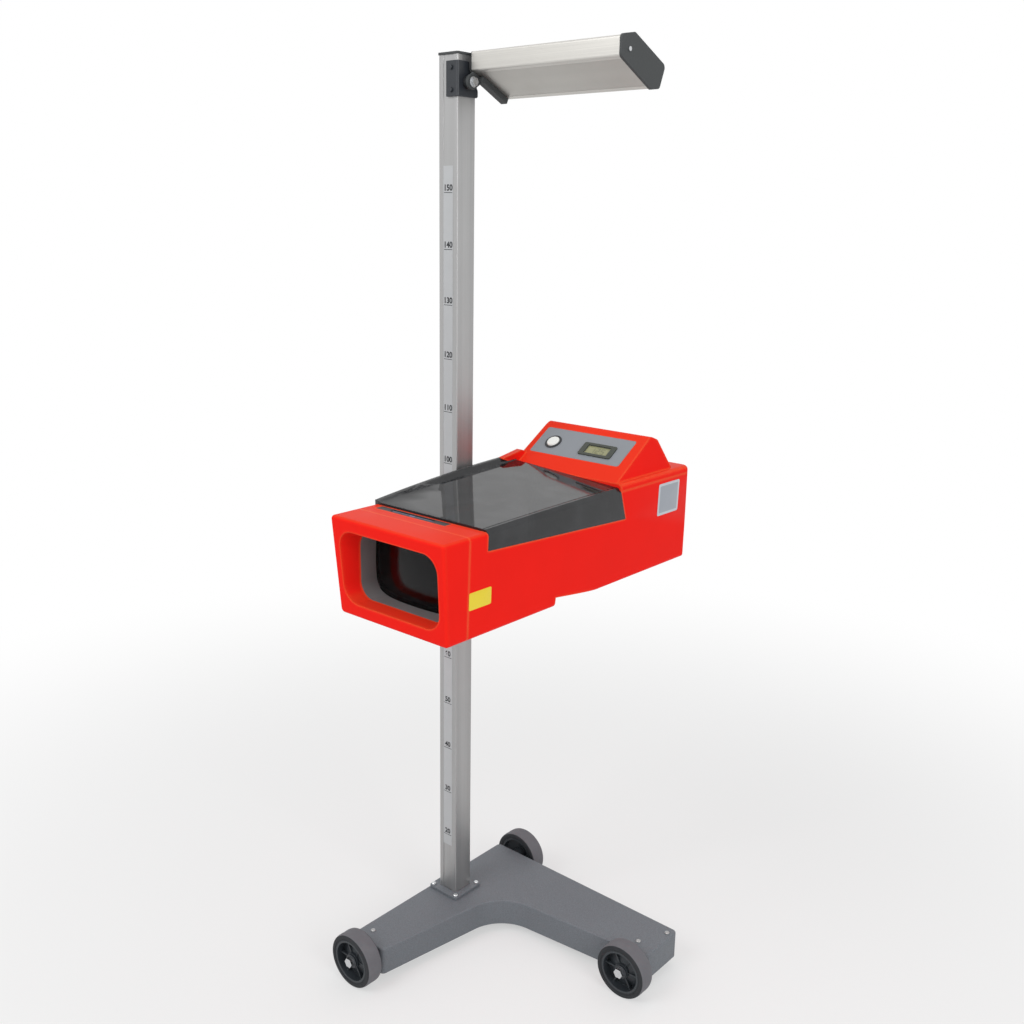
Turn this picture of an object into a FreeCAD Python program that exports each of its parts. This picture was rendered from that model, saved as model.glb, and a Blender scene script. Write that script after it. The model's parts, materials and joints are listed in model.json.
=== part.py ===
import FreeCAD, Part
import math
import os

from FreeCAD import Placement, Rotation, Vector

# Headlight beam tester on a wheeled stand.
# Everything is laid out about the column's axis: X to the right, Y to the back, Z up,
# floor at Z = 0. At export it is moved so that the origin is at the bottom centre of the whole.

# Wheels and axles
WHEEL_R = 55.0
WHEEL_WIDTH = 36.0
WHEEL_TRACK = 412.0
WHEEL_OFFSET = 28.0
HUB_R = 43.0
HUB_BOSS_R = 15.0
HUB_RIBS = 6
BUSH_R = 9.0
AXLE_R = 6.0
AXLE_HEAD_R = 10.0
RUNNING_GAP = 0.06
FIT_GAP = 0.1

# Base
BASE_TOP = 78.0
BASE_BOTTOM = 22.0
BASE_WALL = 4.0
BASE_ROOF = 5.0
BASE_LEFT = -42.0
BASE_RIGHT = 442.0
BASE_FRONT = -252.0
BASE_BACK = 191.0
LEFT_ARM_TIP = 43.0
INNER_CORNER = (92.0, 44.0)
INNER_CORNER_R = 90.0
RIGHT_ARM_TIP = 82.0
BASE_CORNER_R = 10.0
BASE_EDGE_R = 4.0
RIGHT_WHEEL_FACE = 77.0

# Column
COLUMN_SIDE = 46.0
COLUMN_TOP = 1746.0
COLUMN_WALL = 3.0
SCALE_WIDTH = 24.0
SCALE_DEPTH = 0.8
SCALE_BOTTOM = 190.0
SCALE_TOP = 1560.0
FOOT_SIDE = 78.0
FOOT_THICK = 6.0
FOOT_SCREW = 32.0

# Visor over the column, section as (y, z) corners, and its pivot
VISOR_LEFT = 36.0
VISOR_RIGHT = 359.0
VISOR_CAP = 5.0
END_PLATE = 1.5
LUG_THICK = 5.0
ARM_WIDTH = 14.0
ARM_DEPTH = 9.0
VISOR_WALL = 2.5
VISOR_SECTION = [(-3, 1719), (82, 1678), (104, 1681), (118, 1716), (30, 1756), (-3, 1750)]
PIVOT_Y = -3.0
PIVOT_Z = 1700.0
PIVOT_R = 4.0
LUG_R = 13.0
BRACKET_BOTTOM = 1676.0
BRACKET_TOP = 1735.0
BRACKET_THICK = 4.0

# Optical box
BOX_LEFT = 43.0
BOX_WIDTH = 268.0
BOX_FRONT = -353.0
BOX_REAR = 352.0
BEZEL_REAR = -293.0
COVER_FRONT = -250.0
COVER_REAR = 114.0
BOX_FLOOR = 808.0
DECK_TOP = 984.0
REAR_RIM = 987.0
HOOD_DECK = 1001.0
HOOD_BRIM_R = 9.0
BOX_DRAFT = 5.4
BOX_RAKE = 14.0
BOX_WALL = 3.0
FLOOR_R = 9.0
DECK_R = 7.0
BEZEL_EDGE_R = 6.0
REAR_CORNER_R = 16.0
WINDOW_FRONT_Z = 953.0
WINDOW_REAR_Z = 931.0
WINDOW_LEAN = 20.0
LENS_Z = 895.0
LENS_PLANE = -312.0
LENS_SPHERE_R = 420.0
LENS_THICK = 20.0
TUNNEL_DEPTH = 44.0
DIP_KNOB_DEPTH = 16.0

# Smoked cover: heights of its left rim, the pane beside the rim and the right edge at stations along Y
COVER_STATIONS = (COVER_FRONT, -54.0, COVER_REAR)
COVER_SECTIONS = (-290.0, -175.0, -60.0, 55.0, 170.0)
RIM_HEIGHTS = (991.0, 1010.0, 1018.5)
PANE_HEIGHTS = (988.0, 1001.0, 1008.5)
EDGE_HEIGHTS = (988.0, 992.0, 993.5)
RIM_EDGE = BOX_LEFT + 4.0
RIM_FOOT = BOX_LEFT + 14.0
RIGHT_BEVEL = 7.5
GROOVE = (297.0, 299.0)
GROOVE_DEPTH = 1.2
HORN_WIDTH = 12.0
HORN_TIP = 76.0
HORN_SEAM = [(HORN_TIP, 1014.5), (116.0, 1000.0)]
HORN_CREST = [(150.0, 1000.0), (150.0, 1020.0), (132.0, 1026.0), (HORN_TIP, 1017.0)]

# Console on the rear hood: slope from its foot to its brow
CONSOLE_LEFT = 45.0
CONSOLE_RIGHT = 297.0
SLOPE_FOOT = (115.0, 1000.0)
SLOPE_BROW = (228.0, 1073.0)
CONSOLE_BACK = (250.0, 1064.0)
CONSOLE_HEEL = (298.0, 1003.0)
CONSOLE_SILL = 985.0
CONSOLE_TOP = 1080.0
CONSOLE_SHOULDER_R = 16.0
SLOPE_WALL = 4.0
PANEL = (59.0, 275.0, 42.0, 115.0)
PANEL_THICK = 1.6
DISPLAY = (181.0, 235.0, 62.0, 84.0)
DISPLAY_FRAME = (169.5, 246.5, 56.0, 90.0)
BOARD = (66.0, 268.0, 44.0, 113.0)
BOARD_DEPTH = 13.0
BUTTON_X = 97.0
BUTTON_S = 76.0
BUTTON_R = 13.0

# Carriage on the column
SLEEVE_SIDE = 61.0
SLEEVE_BORE = 50.0
SLEEVE_BOTTOM = 835.0
SLEEVE_TOP = 965.0
LINER_HEIGHT = 30.0
LINER_GAP = 0.3
PLATE_FACE = 38.0
PLATE_BOTTOM = 845.0
PLATE_TOP = 915.0
PLATE_HALF = 60.0
CLAMP_Z = 890.0

# Dip drive: knob, pinion and rack that shift the aiming screen
PINION_TEETH = 20
GEAR_MODULE = 1.0
GEAR_ADDENDUM = 0.8
GEAR_DEDENDUM = 1.2
GEAR_BACKLASH = 0.3
PRESSURE_ANGLE = math.radians(20)
SHAFT_R = 5.0
SCREEN_Y = 138.0
SCREEN_THICK = 3.0
SCREEN_HALF = 97.0

BOX_MID = BOX_LEFT + BOX_WIDTH / 2
BOX_RIGHT = BOX_LEFT + BOX_WIDTH
PITCH_R = PINION_TEETH * GEAR_MODULE / 2
DIP_KNOB_END = BOX_REAR + DIP_KNOB_DEPTH
ORIGIN_SHIFT = Vector(-WHEEL_TRACK / 2, -(BOX_FRONT + DIP_KNOB_END) / 2, 0)
HALF_COLUMN = COLUMN_SIDE / 2

# Each wheel: name, place along X, the base face it stands off, and which way it faces along Y
WHEELS = [
    ("front_left", 0.0, BASE_FRONT, -1),
    ("rear_left", 0.0, BASE_BACK, 1),
    ("right", WHEEL_TRACK, RIGHT_WHEEL_FACE, -1),
]

PLANES = {
    "XY": (lambda a, b, c: Vector(a, b, c)),
    "XZ": (lambda a, b, c: Vector(a, c, b)),
    "YZ": (lambda a, b, c: Vector(c, a, b)),
}


# Drawing helpers

def block(x0, x1, y0, y1, z0, z1):
    """Box between two corners."""
    return Part.makeBox(x1 - x0, y1 - y0, z1 - z0, Vector(x0, y0, z0))


def rod(axis, start, end, radius, centre):
    """Round bar along a named axis; centre gives the other two coordinates in X, Y, Z order."""
    spots = {"X": (start, *centre), "Y": (centre[0], start, centre[1]), "Z": (*centre, start)}
    ways = {"X": Vector(1, 0, 0), "Y": Vector(0, 1, 0), "Z": Vector(0, 0, 1)}
    return Part.makeCylinder(radius, end - start, Vector(*spots[axis]), ways[axis])


def ring(axis, start, end, outer, inner, centre):
    """Round tube along a named axis."""
    return rod(axis, start, end, outer, centre).cut(rod(axis, start - 1, end + 1, inner, centre))


def hexagon(axis, start, end, across_flats, centre):
    """Hexagonal bar along a named axis, such as a bolt head."""
    radius = across_flats / math.sqrt(3)
    corners = []
    for step in range(6):
        angle = math.radians(60 * step)
        corners.append((centre[0] + radius * math.cos(angle), centre[1] + radius * math.sin(angle)))
    plane = {"X": "YZ", "Y": "XZ", "Z": "XY"}[axis]
    return prism(corners, 0, plane, start, end)


def fuse_all(shapes):
    """One solid from shapes that touch or overlap."""
    whole = shapes[0].multiFuse(shapes[1:])
    return whole.removeSplitter()


def rounded_wire(points, radii, plane, level):
    """Closed wire through the points in a plane, each corner rounded by its radius."""
    place = PLANES[plane]
    if not isinstance(radii, (list, tuple)):
        radii = [radii] * len(points)
    corners = []
    count = len(points)
    for index in range(count):
        here = Vector(*points[index], 0)
        back = (Vector(*points[index - 1], 0) - here).normalize()
        ahead = (Vector(*points[(index + 1) % count], 0) - here).normalize()
        radius = radii[index]
        if radius == 0:
            corners.append((here, None, here))
            continue
        half = back.getAngle(ahead) / 2
        reach = radius / math.tan(half)
        inward = (back + ahead).normalize()
        middle = here + inward * (radius / math.sin(half) - radius)
        corners.append((here + back * reach, middle, here + ahead * reach))
    edges = []
    for index, (start, middle, end) in enumerate(corners):
        following = corners[(index + 1) % count][0]
        spots = [place(spot.x, spot.y, level) for spot in (start, end, following)]
        if middle is not None:
            edges.append(Part.Arc(spots[0], place(middle.x, middle.y, level), spots[1]).toShape())
        if end.distanceToPoint(following) > 1e-6:
            edges.append(Part.LineSegment(spots[1], spots[2]).toShape())
    return Part.Wire(edges)


def prism(points, radii, plane, start, end):
    """Solid from a rounded outline drawn in a plane and pulled from start to end."""
    face = Part.Face(rounded_wire(points, radii, plane, start))
    return face.extrude(PLANES[plane](0, 0, end - start))


def grown(points, distance):
    """Outline with every side moved outwards by a distance, or inwards if it is negative."""
    count = len(points)
    area = sum(points[i - 1][0] * points[i][1] - points[i][0] * points[i - 1][1] for i in range(count))
    turn = 1 if area > 0 else -1
    moved = []
    for index in range(count):
        ax, ay = points[index - 1]
        bx, by = points[index]
        cx, cy = points[(index + 1) % count]
        first = Vector(bx - ax, by - ay, 0).normalize()
        second = Vector(cx - bx, cy - by, 0).normalize()
        out_first = Vector(first.y, -first.x, 0) * (turn * distance)
        out_second = Vector(second.y, -second.x, 0) * (turn * distance)
        cross = first.x * second.y - first.y * second.x
        gap = out_second - out_first
        along = (gap.x * second.y - gap.y * second.x) / cross
        moved.append((bx + out_first.x + first.x * along, by + out_first.y + first.y * along))
    return moved


def rectangle(x0, x1, z0, z1):
    """Four corners of a rectangle, in order."""
    return [(x0, z0), (x1, z0), (x1, z1), (x0, z1)]


def turned(profile, radii):
    """Solid turned about Z from a rounded (radius, height) outline."""
    face = Part.Face(rounded_wire(profile, radii, "XZ", 0))
    return face.revolve(Vector(0, 0, 0), Vector(0, 0, 1), 360)


# Wheels

def wheel_place(name, x, face, way):
    """Placement that carries a wheel from its own axis (Z outwards) to its place on the base."""
    spin = Rotation(Vector(1, 0, 0), 90 if way < 0 else -90)
    return Placement(Vector(x, face + way * WHEEL_OFFSET, WHEEL_R), spin)


def tyre():
    """Solid tyre with sloped shoulders beside a flat tread."""
    half = WHEEL_WIDTH / 2
    shoulder = [(WHEEL_R - 7, half), (WHEEL_R - 2.5, half - 3), (WHEEL_R, half - 8)]
    lower = [(radius, -height) for radius, height in shoulder]
    return turned([(HUB_R, -half), *lower, *reversed(shoulder), (HUB_R, half)], 0)


def hub():
    """Moulded hub: rim, dished web, boss and ribs on the outer side."""
    half = WHEEL_WIDTH / 2
    rim = turned(rectangle(HUB_R - 4, HUB_R - 0.05, -half + 2, half - 1), 0)
    web = turned([(HUB_BOSS_R - 1, 2), (HUB_R - 3, -6), (HUB_R - 3, -2), (HUB_BOSS_R - 1, 6)], 0)
    boss = turned(rectangle(BUSH_R + 0.05, HUB_BOSS_R, -19, 12), 0)
    pieces = [rim, web, boss]
    for step in range(HUB_RIBS):
        rib = block(HUB_BOSS_R - 1, HUB_R - 2, -1.5, 1.5, 1, 8)
        rib.rotate(Vector(0, 0, 0), Vector(0, 0, 1), step * 360 / HUB_RIBS)
        pieces.append(rib)
    return fuse_all(pieces)


def bush():
    """Plain bearing in the hub."""
    return turned(rectangle(AXLE_R + RUNNING_GAP, BUSH_R, -19.5, 12.5), 0)


def axle_bolt(reach):
    """Shoulder bolt that a wheel turns on, screwed into its axle block."""
    shank = rod("Z", -WHEEL_OFFSET - reach, 17, AXLE_R, (0, 0))
    head = hexagon("Z", 15, 23, 2 * AXLE_HEAD_R * math.cos(math.pi / 6), (0, 0))
    return fuse_all([shank, head])


def axle_washer():
    """Washer under the bolt's head."""
    return ring("Z", 12.8, 15, 13.5, AXLE_R + FIT_GAP, (0, 0))


def axle_spacer():
    """Tube that keeps the wheel off the base."""
    return ring("Z", -WHEEL_OFFSET, -19.8, 11, AXLE_R + FIT_GAP, (0, 0))


def wheels():
    """Tyre, hub and bush of each wheel, and the grouped axle hardware."""
    nodes = {}
    bolts, washers, spacers = [], [], []
    for wheel in WHEELS:
        place = wheel_place(*wheel)
        made = [("tyre", tyre()), ("hub", hub()), ("bush", bush())]
        for part_name, shape in made:
            shape.Placement = place
            nodes[f"wheel_{wheel[0]}_{part_name}"] = shape
        for group, shape in ((bolts, axle_bolt(30)), (washers, axle_washer()), (spacers, axle_spacer())):
            shape.Placement = place
            group.append(shape)
    nodes["axle_bolts"] = Part.makeCompound(bolts)
    nodes["axle_washers"] = Part.makeCompound(washers)
    nodes["axle_spacers"] = Part.makeCompound(spacers)
    return nodes


# Base

BASE_OUTLINE = [
    (BASE_LEFT, BASE_FRONT), (LEFT_ARM_TIP, BASE_FRONT), INNER_CORNER,
    (BASE_RIGHT, RIGHT_ARM_TIP), (BASE_RIGHT, BASE_BACK), (BASE_LEFT, BASE_BACK),
]
AXLE_BLOCKS = [
    (-20, 20, BASE_FRONT + BASE_WALL + FIT_GAP, BASE_FRONT + 44),
    (-20, 20, BASE_BACK - 44, BASE_BACK - BASE_WALL - FIT_GAP),
    (392, 436, 88, 180),
]
BASE_SCREWS = [(-16, -222), (402, 109), (430, 170)]
FOOT_SCREWS = [(i * FOOT_SCREW, j * FOOT_SCREW) for i in (-1, 1) for j in (-1, 1)]


def base_shell():
    """Two tapered arms joined by a wide inner curve, open underneath."""
    outer_radii = [BASE_CORNER_R] * 6
    outer_radii[2] = INNER_CORNER_R
    inner_radii = [radius - BASE_WALL for radius in outer_radii]
    inner_radii[2] = INNER_CORNER_R + BASE_WALL
    outer = prism(BASE_OUTLINE, outer_radii, "XY", BASE_BOTTOM, BASE_TOP)
    rim = [edge for edge in outer.Edges if edge.BoundBox.ZMin > BASE_TOP - 0.01]
    outer = outer.makeFillet(BASE_EDGE_R, rim)
    inner_outline = grown(BASE_OUTLINE, -BASE_WALL)
    cavity = prism(inner_outline, inner_radii, "XY", BASE_BOTTOM - 1, BASE_TOP - BASE_ROOF)
    shell = outer.cut(cavity)
    foot_pad = block(-40, 40, -40, 40, BASE_TOP - 16, BASE_TOP - BASE_ROOF / 2)
    boss = rod("Y", RIGHT_WHEEL_FACE, 86, 16, (WHEEL_TRACK, WHEEL_R))
    shell = fuse_all([shell, foot_pad, boss])
    holes = [rod("Z", BASE_TOP - 30, BASE_TOP + 1, 2.6, spot) for spot in BASE_SCREWS + FOOT_SCREWS]
    for _, x, face, way in WHEELS:
        holes.append(rod("Y", min(face - way * 12, face + way), max(face - way * 12, face + way),
                         AXLE_R + FIT_GAP, (x, WHEEL_R)))
    return shell.cut(Part.makeCompound(holes))


def axle_blocks():
    """Steel blocks under the roof that the axle bolts screw into."""
    blocks = []
    for (x0, x1, y0, y1), (_, x, face, way) in zip(AXLE_BLOCKS, WHEELS):
        solid = block(x0, x1, y0, y1, 40, BASE_TOP - BASE_ROOF)
        reach = rod("Y", face - 60, face + 60, AXLE_R + FIT_GAP, (x, WHEEL_R))
        screw_holes = [rod("Z", BASE_TOP - 30, BASE_TOP, 2.6, spot) for spot in BASE_SCREWS]
        blocks.append(solid.cut(Part.makeCompound([reach] + screw_holes)))
    return Part.makeCompound(blocks)


def pan_screws(spots, seat, head_r, head_h, shank_r, shank_l):
    """Screws standing on a level face at each spot."""
    screws = []
    for spot in spots:
        head = rod("Z", seat, seat + head_h, head_r, spot)
        dome = head.makeChamfer(head_h * 0.4, [head.Edges[0]])
        screws.append(fuse_all([dome, rod("Z", seat - shank_l, seat + 1, shank_r, spot)]))
    return Part.makeCompound(screws)


# Column

def column():
    """Square extrusion with screw ports in its corners and a shallow groove for the scale."""
    half = HALF_COLUMN
    bore = half - COLUMN_WALL
    bar = prism(rectangle(-half, half, -half, half), 2, "XY", BASE_TOP, COLUMN_TOP)
    hollow = prism(rectangle(-bore, bore, -bore, bore), 3, "XY", BASE_TOP - 1, COLUMN_TOP + 1)
    tube = bar.cut(hollow)
    port = half - COLUMN_WALL - 4
    spots = [(i * port, j * port) for i in (-1, 1) for j in (-1, 1)]
    ports = [rod("Z", BASE_TOP, COLUMN_TOP, 4.6, spot) for spot in spots]
    bores = [rod("Z", BASE_TOP - 1, COLUMN_TOP + 1, 2.1, spot) for spot in spots]
    strip = SCALE_WIDTH / 2
    groove = block(-strip, strip, -half - 1, -half + SCALE_DEPTH, BASE_TOP - 1, COLUMN_TOP + 1)
    pivot_hole = rod("X", half - 5, half + 1, PIVOT_R + FIT_GAP, (PIVOT_Y, PIVOT_Z))
    screw_holes = [rod("Y", -half - 1, -half + 8, 2.1, spot) for spot in BRACKET_SCREWS]
    return fuse_all([tube] + ports).cut(Part.makeCompound(bores + [groove, pivot_hole] + screw_holes))


def height_scale():
    """Graduated strip in the column's groove."""
    half = SCALE_WIDTH / 2 - 0.2
    return block(-half, half, -HALF_COLUMN + 0.05, -HALF_COLUMN + SCALE_DEPTH, SCALE_BOTTOM, SCALE_TOP)


def column_foot():
    """Foot plate round the column's lower end."""
    half = FOOT_SIDE / 2
    plate = prism(rectangle(-half, half, -half, half), 5, "XY", BASE_TOP, BASE_TOP + FOOT_THICK)
    sleeve = HALF_COLUMN + FIT_GAP
    opening = prism(rectangle(-sleeve, sleeve, -sleeve, sleeve), 2, "XY", BASE_TOP - 1, BASE_TOP + 20)
    holes = [rod("Z", BASE_TOP - 1, BASE_TOP + 20, 2.6, spot) for spot in FOOT_SCREWS]
    return plate.cut(Part.makeCompound([opening] + holes))


def column_cap():
    """Lid on the column with a tongue that goes inside it."""
    half = HALF_COLUMN + 1.5
    lid = prism(rectangle(-half, half, -half, half), 3, "XY", COLUMN_TOP, COLUMN_TOP + 4)
    tongue = block(-8, 8, -half + 6, half - 6, COLUMN_TOP - 12, COLUMN_TOP + 1)
    return fuse_all([lid, tongue]).cut(rod("Z", COLUMN_TOP - 20, COLUMN_TOP + 9, 2.5, (0, 0)))


# Visor and its pivot

BRACKET_SCREWS = [(11, BRACKET_BOTTOM + 11), (11, BRACKET_TOP - 11)]


def visor_bracket():
    """Angle on the column's front right edge that carries the pivot."""
    face = HALF_COLUMN
    out = face + BRACKET_THICK
    corner = prism([(-1, -out), (out, -out), (out, 26), (face, 26), (face, -face), (-1, -face)],
                   [0, 4, 0, 0, 0, 0], "XY", BRACKET_BOTTOM, BRACKET_TOP)
    ear = [(-40, BRACKET_BOTTOM), (25, BRACKET_BOTTOM), (25, 1688), (8, 1716), (3, 1722), (3, BRACKET_TOP),
           (-40, BRACKET_TOP)]
    outline = prism(ear, [0, 4, 6, 8, 0, 3, 0], "YZ", -5, out + 1)
    holes = [rod("X", face - 1, out + 1, PIVOT_R + FIT_GAP, (PIVOT_Y, PIVOT_Z))]
    holes += [rod("Y", -out - 1, -face + 1, 2.1, spot) for spot in BRACKET_SCREWS]
    return corner.common(outline).cut(Part.makeCompound(holes))


def bracket_screws():
    """Screws through the bracket into the column."""
    seat = -HALF_COLUMN - BRACKET_THICK
    screws = []
    for spot in BRACKET_SCREWS:
        head = rod("Y", seat - 3, seat, 4, spot)
        screws.append(fuse_all([head, rod("Y", seat - 1, -HALF_COLUMN + 6, 2, spot)]))
    return Part.makeCompound(screws)


def pivot_parts():
    """Bolt, nut and friction washer on the tilt axis."""
    axis = (PIVOT_Y, PIVOT_Z)
    inner = HALF_COLUMN - COLUMN_WALL
    outer = HALF_COLUMN + BRACKET_THICK
    lug_end = VISOR_LEFT + LUG_THICK
    shank = rod("X", inner - 8, lug_end + 2, PIVOT_R, axis)
    flange = rod("X", lug_end + 0.3, lug_end + 1.8, 9, axis)
    bolt = fuse_all([shank, flange, hexagon("X", lug_end + 1.8, lug_end + 7, 13, axis)])
    nut = hexagon("X", inner - 6.6, inner, 13, axis).cut(rod("X", 0, 40, PIVOT_R + FIT_GAP, axis))
    washer = ring("X", outer, VISOR_LEFT - 0.1, 11, PIVOT_R + FIT_GAP, axis)
    return {"pivot_bolt": bolt, "pivot_nut": nut, "friction_washer": washer}


def visor_frame():
    """Origin, direction and inward normal of the visor's underside in (y, z)."""
    front = Vector(*VISOR_SECTION[0], 0)
    rear = Vector(*VISOR_SECTION[1], 0)
    along = (rear - front).normalize()
    return front, along, Vector(-along.y, along.x, 0)


def underside_strip(start, end, low, high, x0, x1):
    """Flat bar against the visor's underside, between two distances along it and two depths."""
    front, along, inward = visor_frame()
    spots = [(start, low), (end, low), (end, high), (start, high)]
    corners = [front + along * run + inward * depth for run, depth in spots]
    return prism([(spot.x, spot.y) for spot in corners], 0, "YZ", x0, x1)


def visor():
    """Hollow profile with a mirror strip underneath, an end plate with its arm, and an end cap."""
    left, right = VISOR_LEFT + END_PLATE, VISOR_RIGHT - VISOR_CAP
    lug_end = VISOR_LEFT + LUG_THICK
    outer = prism(VISOR_SECTION, 4, "YZ", left, right)
    hollow = prism(grown(VISOR_SECTION, -VISOR_WALL), 1.5, "YZ", left - 1, right + 1)
    backing = underside_strip(6, 88, 0.5, 5, left, right).common(outer)
    groove = underside_strip(8, 86, -1, 2.2, left - 1, right + 1)
    profile = fuse_all([outer.cut(hollow), backing]).cut(groove)
    mirror = underside_strip(8.2, 85.8, 0.2, 2.1, left + 0.1, right - 0.1)
    lug = rod("X", VISOR_LEFT, lug_end, LUG_R, (PIVOT_Y, PIVOT_Z))
    web = prism([(PIVOT_Y - LUG_R, PIVOT_Z), (-2, 1717), (26, 1704), (PIVOT_Y + 6, PIVOT_Z - 11)], 0,
                "YZ", VISOR_LEFT, lug_end)
    web = web.cut(prism(VISOR_SECTION, 0, "YZ", left, right))
    arm = underside_strip(20, 94, -ARM_DEPTH, 0, VISOR_LEFT, VISOR_LEFT + ARM_WIDTH)
    plate = prism(VISOR_SECTION, 4, "YZ", VISOR_LEFT, left)
    pivot_hole = rod("X", 0, 60, PIVOT_R + RUNNING_GAP, (PIVOT_Y, PIVOT_Z))
    cap_left = fuse_all([plate, lug, web, arm]).cut(pivot_hole)
    cap_right = prism(grown(VISOR_SECTION, 1.5), 8, "YZ", right, VISOR_RIGHT)
    screws = []
    holes = []
    for spot in VISOR_SCREWS:
        head = rod("X", VISOR_RIGHT, VISOR_RIGHT + 2, 3.6, spot)
        screws.append(fuse_all([head, rod("X", right - 10, VISOR_RIGHT + 1, 1.6, spot)]))
        holes.append(rod("X", right - 1, VISOR_RIGHT + 9, 1.7, spot))
    cap_right = cap_right.cut(Part.makeCompound(holes))
    return {
        "visor_profile": profile, "visor_mirror": mirror, "visor_cap_left": cap_left,
        "visor_cap_right": cap_right, "visor_cap_screws": Part.makeCompound(screws),
    }


VISOR_SCREWS = [(16, 1731)]


# Carriage on the column

def carriage_sleeve():
    """Square sleeve round the column with a wing plate for the box and a window for the scale."""
    half, bore = SLEEVE_SIDE / 2, SLEEVE_BORE / 2
    body = prism(rectangle(-half, half, -half, half), 5, "XY", SLEEVE_BOTTOM, SLEEVE_TOP)
    wing = rectangle(-PLATE_HALF, PLATE_HALF, PLATE_BOTTOM, PLATE_TOP)
    plate = prism(wing, 6, "YZ", half - 4, PLATE_FACE)
    whole = fuse_all([body, plate])
    cuts = [prism(rectangle(-bore, bore, -bore, bore), 1, "XY", SLEEVE_BOTTOM - 1, SLEEVE_TOP + 1)]
    cuts.append(prism(rectangle(-14, 14, 905, 931), 4, "XZ", -half - 1, -bore + 1))
    cuts.append(rod("Y", bore - 1, half + 1, 4 + RUNNING_GAP, (0, CLAMP_Z)))
    cuts += [rod("X", half - 5, PLATE_FACE + 1, 2.6, spot) for spot in CARRIAGE_SCREWS]
    return whole.cut(Part.makeCompound(cuts))


CARRIAGE_SCREWS = [(i * 47, z) for i in (-1, 1) for z in (PLATE_BOTTOM + 13, PLATE_TOP - 13)]


def glide_liners():
    """Low-friction linings at both ends of the sleeve."""
    outer, inner = SLEEVE_BORE / 2, HALF_COLUMN + LINER_GAP
    liners = []
    for bottom in (SLEEVE_BOTTOM + 4, SLEEVE_TOP - LINER_HEIGHT - 4):
        top = bottom + LINER_HEIGHT
        frame = prism(rectangle(-outer, outer, -outer, outer), 1, "XY", bottom, top)
        bore = prism(rectangle(-inner, inner, -inner, inner), 2, "XY", bottom - 1, top + 1)
        liners.append(frame.cut(bore))
    return Part.makeCompound(liners)


def carriage_screws():
    """Screws from the wing plate into the box."""
    seat = SLEEVE_SIDE / 2 - 4
    screws = []
    for spot in CARRIAGE_SCREWS:
        head = rod("X", seat - 5, seat, 4.5, spot)
        screws.append(fuse_all([head, rod("X", seat - 1, PLATE_FACE + 8, 2.5, spot)]))
    return Part.makeCompound(screws)


def clamp():
    """Star knob, stud and brake shoe that hold the carriage at its height."""
    half = SLEEVE_SIDE / 2
    axis = (0, CLAMP_Z)
    knob = rod("Y", half + 8, half + 26, 21, axis)
    scallops = []
    for step in range(6):
        angle = math.radians(60 * step)
        spot = (25 * math.cos(angle), CLAMP_Z + 25 * math.sin(angle))
        scallops.append(rod("Y", half + 7, half + 27, 8, spot))
    knob = fuse_all([knob.cut(Part.makeCompound(scallops)), rod("Y", half + 1, half + 9, 9, axis)])
    knob = knob.cut(rod("Y", half, half + 20, 4 + 0.02, axis))
    stud = rod("Y", HALF_COLUMN + 2, half + 20, 4, axis)
    shoe = block(-12, 12, HALF_COLUMN + LINER_GAP, HALF_COLUMN + 1.9, CLAMP_Z - 15, CLAMP_Z + 15)
    return {"clamp_knob": knob, "clamp_stud": stud, "brake_shoe": shoe}


# Optical box

def half_width(z):
    """Half width of the box at a height: the sides draw in towards the floor."""
    return BOX_WIDTH / 2 - BOX_DRAFT * (DECK_TOP - z) / (DECK_TOP - BOX_FLOOR)


def box_section(top, inset=0.0):
    """Section of the box across its length, up to a given top, as (x, z) corners."""
    low = BOX_FLOOR + inset
    wide, narrow = half_width(top) - inset, half_width(low) - inset
    return [(BOX_MID - narrow, low), (BOX_MID + narrow, low), (BOX_MID + wide, top), (BOX_MID - wide, top)]


def box_run(top, inset, radii, start, end):
    """Stretch of the box between two stations along Y."""
    return prism(box_section(top, inset), radii, "XZ", start, end)


def across(points, radii=0):
    """Cutter from a side outline as (y, z) corners, running right across the box."""
    return prism(points, radii, "YZ", BOX_LEFT - 20, BOX_RIGHT + 20)


def box_plan(inset, low, high):
    """Plan of the box with rounded rear corners, to trim its back."""
    half = half_width(REAR_RIM) - inset + 0.2
    corners = rectangle(BOX_MID - half, BOX_MID + half, BOX_FRONT, BOX_REAR - inset)
    return prism(corners, [0, 0, REAR_CORNER_R - inset, REAR_CORNER_R - inset], "XY", low, high)


FLOOR_NOTCH = [(-70.0, 780.0), (100.0, 780.0), (100.0, 804.2), (-66.0, 826.0)]


def floor_notch(room):
    """Shallow wedge across the floor, deepest at its front end, with room for a wall over it."""
    return across(grown(FLOOR_NOTCH, room))


WINDOW_SIDE = [
    (COVER_FRONT, WINDOW_FRONT_Z), (COVER_REAR + WINDOW_LEAN, WINDOW_REAR_Z),
    (COVER_REAR, REAR_RIM), (COVER_REAR, 1100), (COVER_FRONT, 1100),
]
LEVEL_SLOT = (66.0, 232.0, -270.0, -253.5)
HOOD_PILLARS = [(BOX_MID + i * 108, y) for i in (-1, 1) for y in (168, 318)]


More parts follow.
